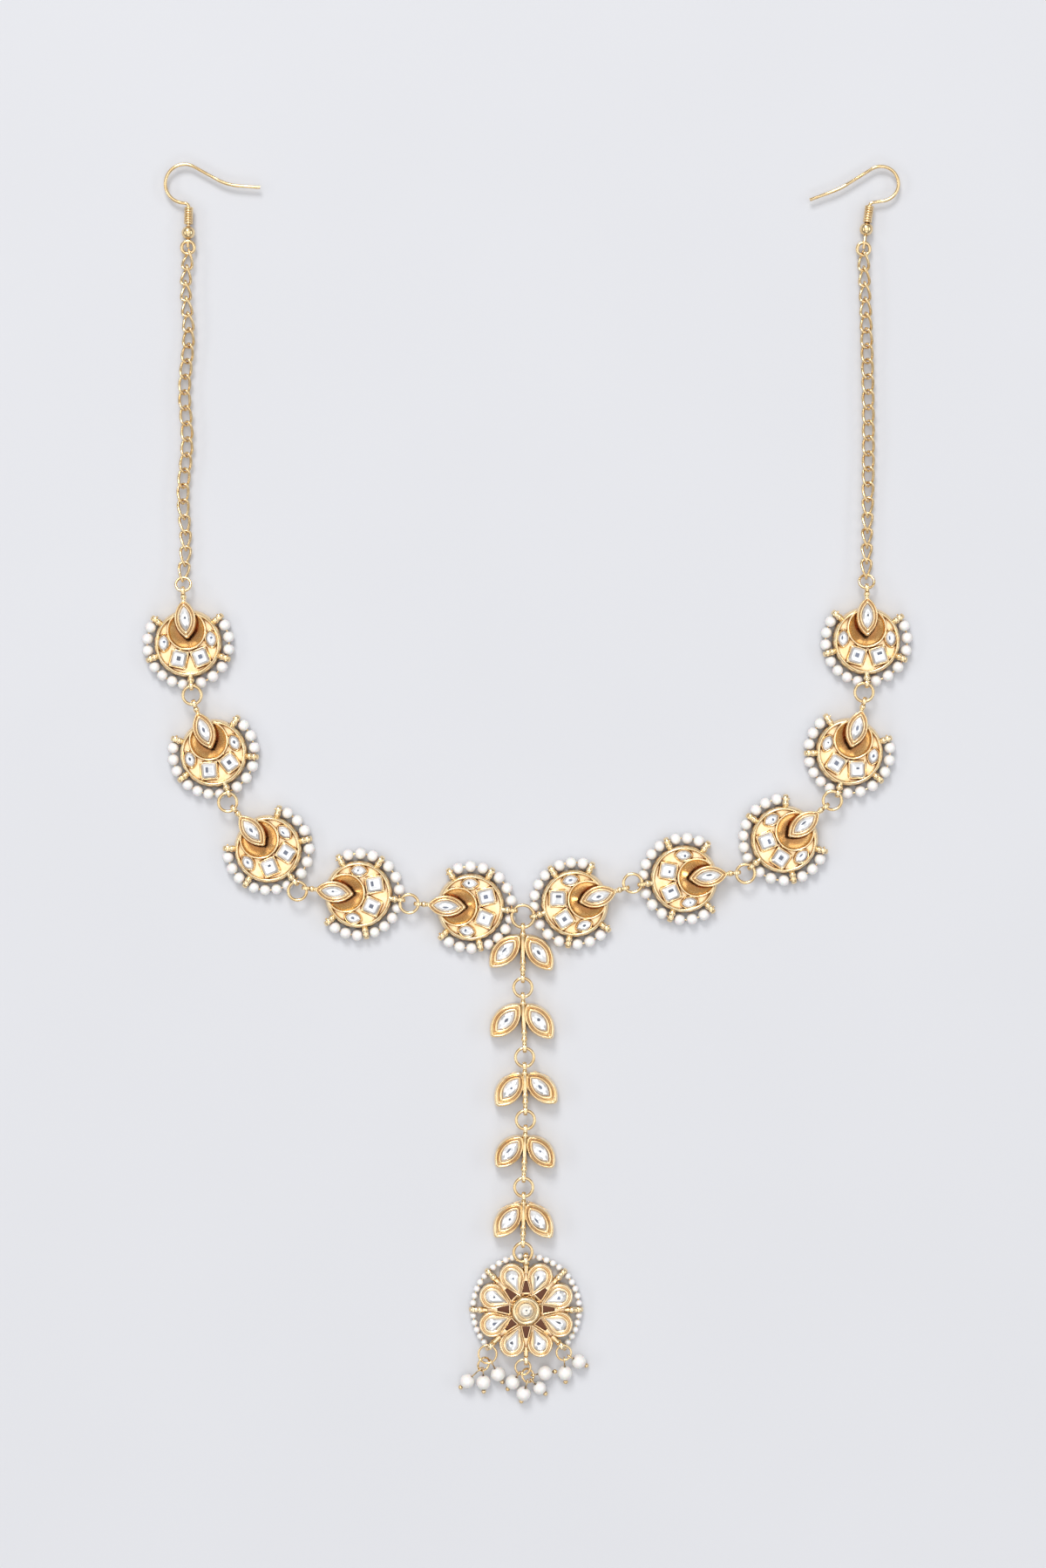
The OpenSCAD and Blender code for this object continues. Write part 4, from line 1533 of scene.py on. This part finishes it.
@dataclass
class Findings:
    """Jump rings and ear hooks, which keep the model's shapes."""

    rings: tuple[str, ...] = ("left_rings", "right_rings", "centre_ring", "drop_rings")
    hooks: tuple[str, ...] = ("ear_hook", "hook_coil", "hook_ball")

    def dress(self, nodes: dict[str, Piece]) -> None:
        """Plates the rings, hooks, coils and balls.

        Args:
            nodes: The model's nodes.
        """
        for name in self.rings:
            dress_metal(nodes, name, Finishes.WIRE_GOLD.value)
        for side in ("left", "right"):
            for name in self.hooks:
                dress_metal(nodes, f"{side}_{name}", Finishes.WIRE_GOLD.value)


# Studio


@dataclass
class Softbox:
    """An area light that looks at the ornament."""

    name: str
    spot: tuple[float, float, float]
    size: tuple[float, float]
    power: float
    colour: Colour = (1.0, 1.0, 1.0)

    def build(self) -> None:
        """Hangs the light and turns it to the ornament."""
        data = bpy.data.lights.new(self.name, "AREA")
        data.shape = "RECTANGLE"
        data.size, data.size_y = self.size
        data.energy = self.power
        data.color = self.colour
        lamp = bpy.data.objects.new(self.name, data)
        bpy.context.scene.collection.objects.link(lamp)
        lamp.location = self.spot
        lamp.rotation_euler = (-Vector(self.spot)).to_track_quat("-Z", "Y").to_euler()


@dataclass
class Studio:
    """Pale board, soft light from the top of the picture and a camera straight above.

    The sky's levels each give a height, as the Z of a direction, and the light from there.
    """

    lights: tuple[Softbox, ...] = (
        Softbox("key_light", (-0.5, 2.1, 2.2), (1.1, 1.1), 41.4),
        Softbox("left_strip", (-1.6, -0.1, 1.0), (1.4, 0.35), 4.1),
        Softbox("right_strip", (1.6, 0.1, 1.0), (1.4, 0.35), 3.7),
        Softbox("low_fill", (0.1, -1.7, 1.3), (1.2, 0.35), 3.45),
    )
    board_size: float = 6.0
    board_z: float = -0.00002
    aim: Flat = (-0.9, -0.12)
    frame_h: float = 323.64
    film: float = 36.0
    lens: float = 85.0
    subject_z: float = 2.0
    sky_levels: tuple[Flat, ...] = ((0.30, 0.32), (0.80, 0.575), (0.91, 1.38))
    sky_blue: float = 1.01

    def build(self) -> None:
        """Builds the floor, the sky, the lights and the camera."""
        self.floor()
        self.sky()
        for light in self.lights:
            light.build()
        self.camera()
        bpy.context.scene.view_settings.view_transform = "Standard"

    def floor(self) -> None:
        """Lays the board just under the ornament."""
        Bench.clear()
        bpy.ops.mesh.primitive_plane_add(size=self.board_size, location=(0, 0, self.board_z))
        board = Bench.settle(bpy.context.object)
        Bench.pick(board, lambda middle, normal: True)
        bpy.ops.mesh.subdivide(number_cuts=3)
        bpy.ops.object.mode_set(mode="OBJECT")
        board.name = "board"
        board.data.materials.append(Tabletop("board").material())

    def sky(self) -> None:
        """Surrounds the set with soft light that is brighter overhead than at the sides."""
        world = bpy.data.worlds.new("studio")
        bpy.context.scene.world = world
        world.use_nodes = True
        tree = world.node_tree
        back = tree.nodes["Background"]
        place = tree.nodes.new("ShaderNodeTexCoord")
        split = tree.nodes.new("ShaderNodeSeparateXYZ")
        ramp = tree.nodes.new("ShaderNodeValToRGB")
        stops = [(at, (level, level, level * self.sky_blue)) for at, level in self.sky_levels]
        fill_ramp(ramp.color_ramp, stops)
        tree.links.new(place.outputs["Generated"], split.inputs[0])
        tree.links.new(split.outputs["Z"], ramp.inputs["Fac"])
        tree.links.new(ramp.outputs["Color"], back.inputs["Color"])
        back.inputs["Strength"].default_value = 1.0

    def camera(self) -> None:
        """Hangs the camera straight above the middle of the picture."""
        data = bpy.data.cameras.new("camera")
        data.lens = self.lens
        data.sensor_width = self.film
        data.clip_start = 0.01
        data.clip_end = 20
        camera = bpy.data.objects.new("camera", data)
        bpy.context.scene.collection.objects.link(camera)
        height = self.frame_h * self.lens / self.film + self.subject_z
        camera.location = Vector((*self.aim, height)) * MM
        bpy.context.scene.camera = camera


# The whole ornament


def main() -> None:
    """Builds the ornament's looks from its studio to its last bead."""
    logging.basicConfig(level=logging.INFO, format="%(message)s")
    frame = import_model()
    nodes = frame["nodes"]
    layout = Layout()
    Studio().build()
    gems = GemBox().build()
    pearl = Bead(2.5).pattern()
    seed = Bead(1.6, 0.97, 12, 7).pattern()
    mounts = Mounts().build()
    for number in range(1, 11):
        crescent = Crescent(number)
        crescent.build(layout, gems, pearl, mounts)
        crescent.dress(nodes)
    strand = LeafStrand()
    strand.build(layout, gems)
    strand.dress(nodes)
    flower = Flower()
    flower.build(layout, gems, seed, mounts.petal)
    flower.dress(nodes)
    for chain in (CurbChain(True, 0.35, 3), CurbChain(False, 0.7, 0.5)):
        chain.build(layout)
    Findings().dress(nodes)
    gems.scrap()
    mounts.scrap()
    Bench.scrap(pearl, seed)
    Bench.clear()


if __name__ == "__main__":
    main()
